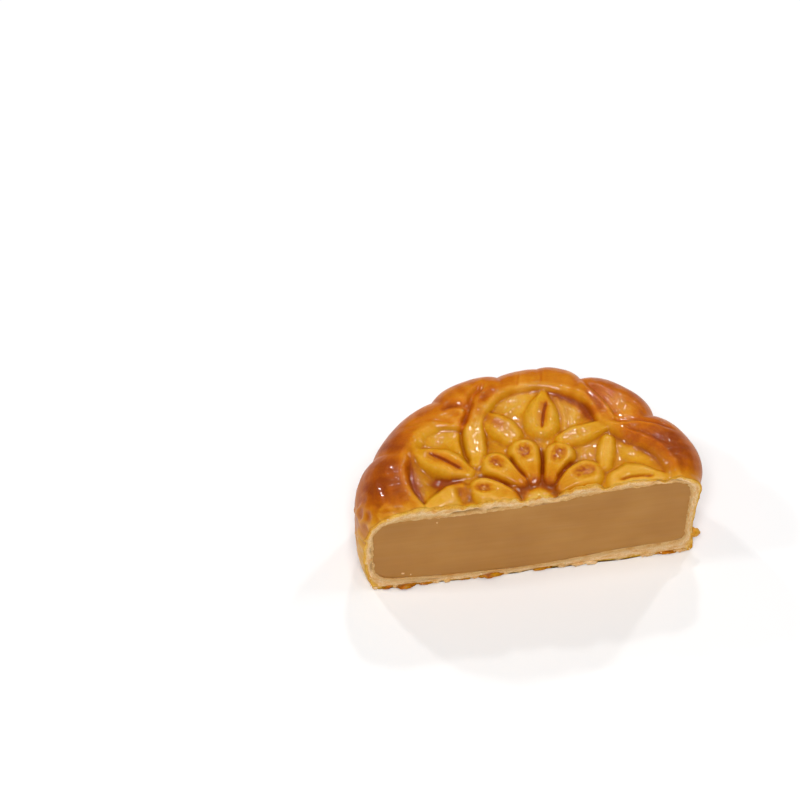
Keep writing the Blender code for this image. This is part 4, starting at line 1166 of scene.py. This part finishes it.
flakes = bmesh.new()
for i, flake in enumerate(FLAKES):
    add_ledge(flakes, *flake, 7 * i)
low = len(flakes.verts)
add_lump(flakes, *SIDE_FLAKE, 90, dent=LESS_DENTED)
float_layer(flakes, "browning", [
    (FLAKE_BROWN if i < low else SIDE_FLAKE_BROWN) + BROWN_SWING * noise.noise(v.co / BROWN_SIZE)
    for i, v in enumerate(flakes.verts)])
float_layer(flakes, "ruddy", [FLAKE_RUDDY + RUDDY_SWING * noise.noise(v.co / RUDDY_SIZE) for v in flakes.verts])
base_flakes = finished_piece("base_flakes", flakes, [skin_mat])

# %% Crumbs along the broken edge
CRUMB_SEED = 5
CRUMB_SPANS = (
    # how many, from x, to x, from z, to z
    (34, -37.5, -4, 0.3, 2.4), (12, -4, 16, 0.3, 1.6), (16, 16, 39, 0.3, 2.2), (14, -40.8, -38.8, 2, 22),
    (10, -36, -28, 30.2, 31.4),
)
CRUMB_SMALL, CRUMB_LARGE, MOSTLY_SMALL = 0.16, 0.5, 2.5
NARROWEST, WIDER_BY = 0.7, 0.6
CRUMB_PROUD = 0.1
LEDGES = (
    # x, how far out, half length, height
    (-39, 0.4, 1, 1.6), (-34, 0.8, 1.6, 1.6), (-24.2, 0.7, 1.6, 1.3), (-21.4, 0.9, 1.4, 1.2),
    (-14.6, 0.8, 1.5, 1.2), (-7, 0.6, 1.6, 1.2), (-3.6, 0.5, 1.4, 1.2), (7, 0.8, 2, 1.2), (10.6, 1.1, 2.2, 1.4),
    (14, 1.1, 2.4, 1.5), (21, 0.4, 2, 1.2), (28, 0.6, 2.4, 1.2), (36.4, 0.5, 2, 1.3),
)
PASTE_CRUMBS = (
    # x, z, half length, half height
    (-32.3, 6.1, 0.45, 0.28), (-24.2, 26.5, 0.3, 0.3), (-30.4, 5.2, 0.2, 0.2),
)
PASTE_CRUMB_DEPTH = 0.3
SHADE_SIZE = 3

crumbs = bmesh.new()
dice = np.random.RandomState(CRUMB_SEED)
for count, x_from, x_to, z_from, z_to in CRUMB_SPANS:
    for i in range(count):
        size = CRUMB_SMALL + (CRUMB_LARGE - CRUMB_SMALL) * dice.rand() ** MOSTLY_SMALL
        shape = size * (NARROWEST + WIDER_BY * dice.rand(3))
        x, z = dice.uniform(x_from, x_to), max(dice.uniform(z_from, z_to), shape[2])
        add_lump(crumbs, (x, CRUMB_PROUD, z), shape, 50 + 3 * i, 2, LESS_DENTED)
for ledge in LEDGES:
    add_ledge(crumbs, *ledge, 30 + 2.3 * ledge[0])
for x, z, half_length, half_height in PASTE_CRUMBS:
    half_sizes = (half_length, PASTE_CRUMB_DEPTH, half_height)
    add_lump(crumbs, (x, CRUMB_PROUD, z), half_sizes, 20 * x, 3, LESS_DENTED)
float_layer(crumbs, "across", [0.5 + 0.5 * noise.noise(v.co / SHADE_SIZE) for v in crumbs.verts])
loose = finished_piece("pastry_crumbs", crumbs, [crumb_mat])

# %% [markdown]
# ## Before the end
# The looks must not outgrow the solids, so both boxes are printed side by side.

# %% The two boxes
dressed_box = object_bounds()
sizes = {"cad": [list(corner) for corner in cad_box], "scene": [list(corner) for corner in dressed_box]}
for name, corners in sizes.items():
    print(name, [[round(value / MM, 2) for value in corner] for corner in corners])
